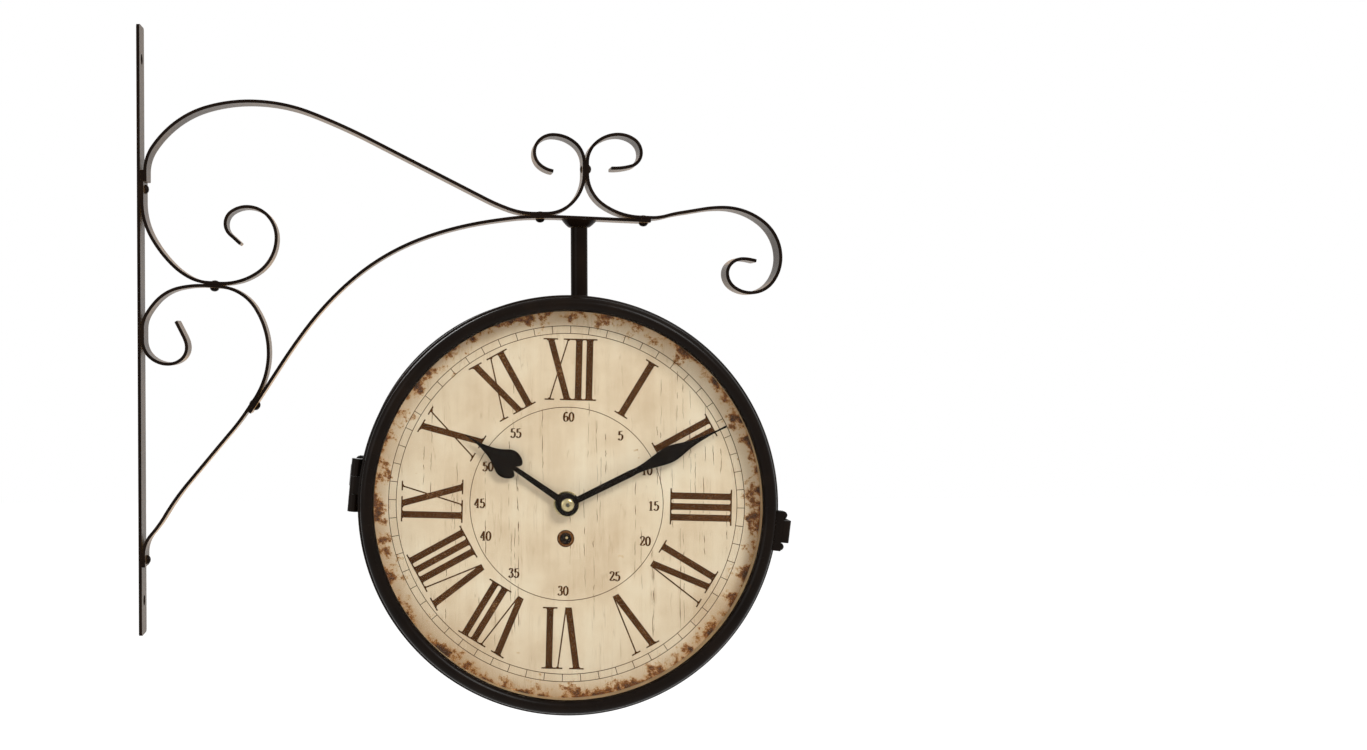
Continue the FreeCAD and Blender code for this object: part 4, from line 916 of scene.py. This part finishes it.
def door_pieces(side):
    """Everything that one face of the clock shows, on the bodies of that side."""
    pane = disc_outline(glass_r, glass_back, glass_back + glass_thick, 0.15)
    band = disc_outline(glass_r, dial_face, glass_back, 0.1, glass_r - band_wall)
    board = disc_outline(dial_r, dial_back, dial_face, 0.2, bush_hole_r)
    # name, shells, finish, body, the node that it stands for, that node's finish slot
    pieces = [
        ("bezel_rolled", [about_drum(bezel_outline(), rim_turns)], drum_enamel, "door",
         "bezel", black),
        ("glass_pane", [about_drum(pane, 192, loop=False)], glass, "door", "glass", "glass"),
        ("dial_band", [about_drum(band, rim_turns)], ring_plastic, "door",
         "dial_ring", "ring_plastic"),
        ("dial_board", [about_drum(board, rim_turns)], board_print, "door", "dial", "dial_board"),
        ("dial_print", dial_print(), dial_ink, "door", None, None),
        ("varnish_cracks", crack_plates(), crack_brown, "door", None, None),
        ("winding_rust", [round_plate(winding_rust_r, 0, 0, 0.01)], crack_brown, "door",
         None, None),
        # flat dark disc: painted shade where the winding hole's depth would be seen
        ("winding_hole", [round_plate(winding_hole_r, 0, 0, 0.02)], hole_painted_shade, "door", None, None),
        # pale dot off the hole's middle: a painted highlight
        ("winding_dot", [round_plate(winding_dot_r, 0.6, 0.5, 0.03)], hole_painted_highlight, "door",
         None, None),
        ("cap_nut_turned", [about_drum(cap_nut_outline(), 48, loop=False)], brass, "minute",
         "cap_nut", "brass"),
        # the shaft's tip in dark steel: a painted reflection in the middle of the nut
        ("shaft_tip", [about_drum(shaft_tip_outline(), 32, loop=False)], steel_darkened_as_reflection, "minute",
         None, None),
    ]
    for name, shells, material, body, node, slot in pieces:
        make_piece(f"{side}_{name}", [at_face(shell, side) for shell in shells], material,
                   f"{side}_{body}", (f"{side}_{node}",) if node else ())


for side in ("front", "rear"):
    door_pieces(side)

# ---- small parts: the node's own solid with eased edges ------------------------------------------
door_parts = {
    "dial_clips": (zinc_steel, "steel", 0.12), "hinge_door_leaf": (drum_enamel, black, 0.2),
    "clasp_plate": (drum_enamel, black, 0.25), "clasp_screws": (drum_enamel, black, 0),
    "clasp_tongue": (drum_enamel, black, 0.2),
    "movement_case": (case_plastic, "movement_plastic", 0.8),
    "battery": (cell_sleeve, "cell_sleeve", 0.4), "dial_nut": (brass, "brass", 0.2),
}
drum_parts = {
    "hinge_drum_leaf": (drum_enamel, black, 0.2), "hinge_pin": (zinc_steel, "steel", 0.15),
    "strike": (zinc_steel, "steel", 0.2),
}
hand_parts = {
    "minute_hand": (hand_lacquer, "hand_black", 0.12),
    "hour_hand": (hand_lacquer, "hand_black", 0.12),
    "hour_tube": (brass, "brass", 0.1), "minute_shaft": (brass, "brass", 0.1),
    "setting_knob": (knob_plastic, "knob_plastic", 0.25),
}

for side in ("front", "rear"):
    for parts in (door_parts, drum_parts, hand_parts):
        for part, (material, slot, width) in parts.items():
            node = side + "_" + part
            eased_copy(node, material, body_of(frame["nodes"][node])[0], width)


# ---- floor, light, camera ------------------------------------------------------------------------
def seen_directly(tree):
    """1 for camera, glossy and transmission rays, 0 for the rays that light the object."""
    path = add(tree, "LightPath")
    straight = add(tree, "Math", {0: path.outputs["Is Camera Ray"],
                                  1: path.outputs["Is Glossy Ray"]}, operation="MAXIMUM")
    return add(tree, "Math", {0: straight, 1: path.outputs["Is Transmission Ray"]},
               operation="MAXIMUM")


def pale_floor():
    """Matt white floor: its own light adds to the room's only for rays that see it, so it shows
    as white with the object's shadow still on it."""
    material, tree, shader, place = new_material("matt_white_floor")
    dust = add(tree, "TexNoise", {"Vector": place, "Scale": 6.0, "Detail": 2.0})
    colour = add(tree, "ValToRGB", {"Fac": dust},
                 stops=[(0.2, tone("#F4F4F3")), (0.8, tone("#FAFAFA"))])
    plug(tree, shader, {"Base Color": colour, "Roughness": 0.9})
    lift = add(tree, "Math", {0: seen_directly(tree), 1: 0.42}, operation="MULTIPLY")
    glow = add(tree, "Emission", {"Color": (1, 1, 1, 1), "Strength": lift})
    both = add(tree, "AddShader", {0: shader, 1: glow})
    show(tree, both)
    return material


def lamp(name, place, target, size, power):
    """Round area lamp: a tilt from straight down by the angle whose tangent is the level
    distance over the drop, then a turn to the target's side."""
    data = bpy.data.lights.new(name, "AREA")
    data.shape = "DISK"
    data.size = size
    data.energy = power
    light = bpy.data.objects.new(name, data)
    bpy.context.scene.collection.objects.link(light)
    light.location = place
    aim = np.asarray(target) - np.asarray(place)
    flat = math.hypot(aim[0], aim[1])
    light.rotation_euler = (math.atan2(flat, -aim[2]), 0, math.atan2(-aim[0], aim[1]))


floor_half, floor_z = 8, -0.9
floor_mesh = bpy.data.meshes.new("floor")
floor_mesh.from_pydata([(-floor_half, -floor_half, floor_z), (floor_half, -floor_half, floor_z),
                        (floor_half, floor_half, floor_z), (-floor_half, floor_half, floor_z)],
                       [], [(0, 1, 2, 3)])
floor = bpy.data.objects.new("floor", floor_mesh)
floor.data.materials.append(pale_floor())
bpy.context.scene.collection.objects.link(floor)

world = bpy.data.worlds.new("white_room")
bpy.context.scene.world = world
world.use_nodes = True
room = world.node_tree
room.nodes.clear()
bright = add(room, "MapRange", {"Value": seen_directly(room), "To Min": 0.64, "To Max": 1.0})
sky = add(room, "Background", {"Color": (1, 1, 1, 1), "Strength": bright})
add(room, "OutputWorld", {"Surface": sky})

# the lamps aim at the middle of the clock, and size and power are in metres and watts
centre = (0.2, 0.0, -0.05)
lamp("key_upper_right", (1.15, -1.35, 1.05), centre, 0.7, 23.0)
lamp("fill_left", (-1.3, -1.2, 0.4), centre, 1.2, 8.0)
lamp("rear_upper", (-0.6, 1.6, 1.1), centre, 1.0, 16.0)

camera_data = bpy.data.cameras.new("photo_camera")
camera_data.sensor_width = 36.0
camera_data.lens = 44.24
camera_data.shift_x = 0.1964
camera_data.shift_y = -0.0293
camera = bpy.data.objects.new("photo_camera", camera_data)
bpy.context.scene.collection.objects.link(camera)
camera.location = (0.172, -1.05, -0.004)
camera.rotation_euler = (math.radians(90), math.radians(0.27), 0)
bpy.context.scene.camera = camera
bpy.context.scene.view_settings.view_transform = "Standard"
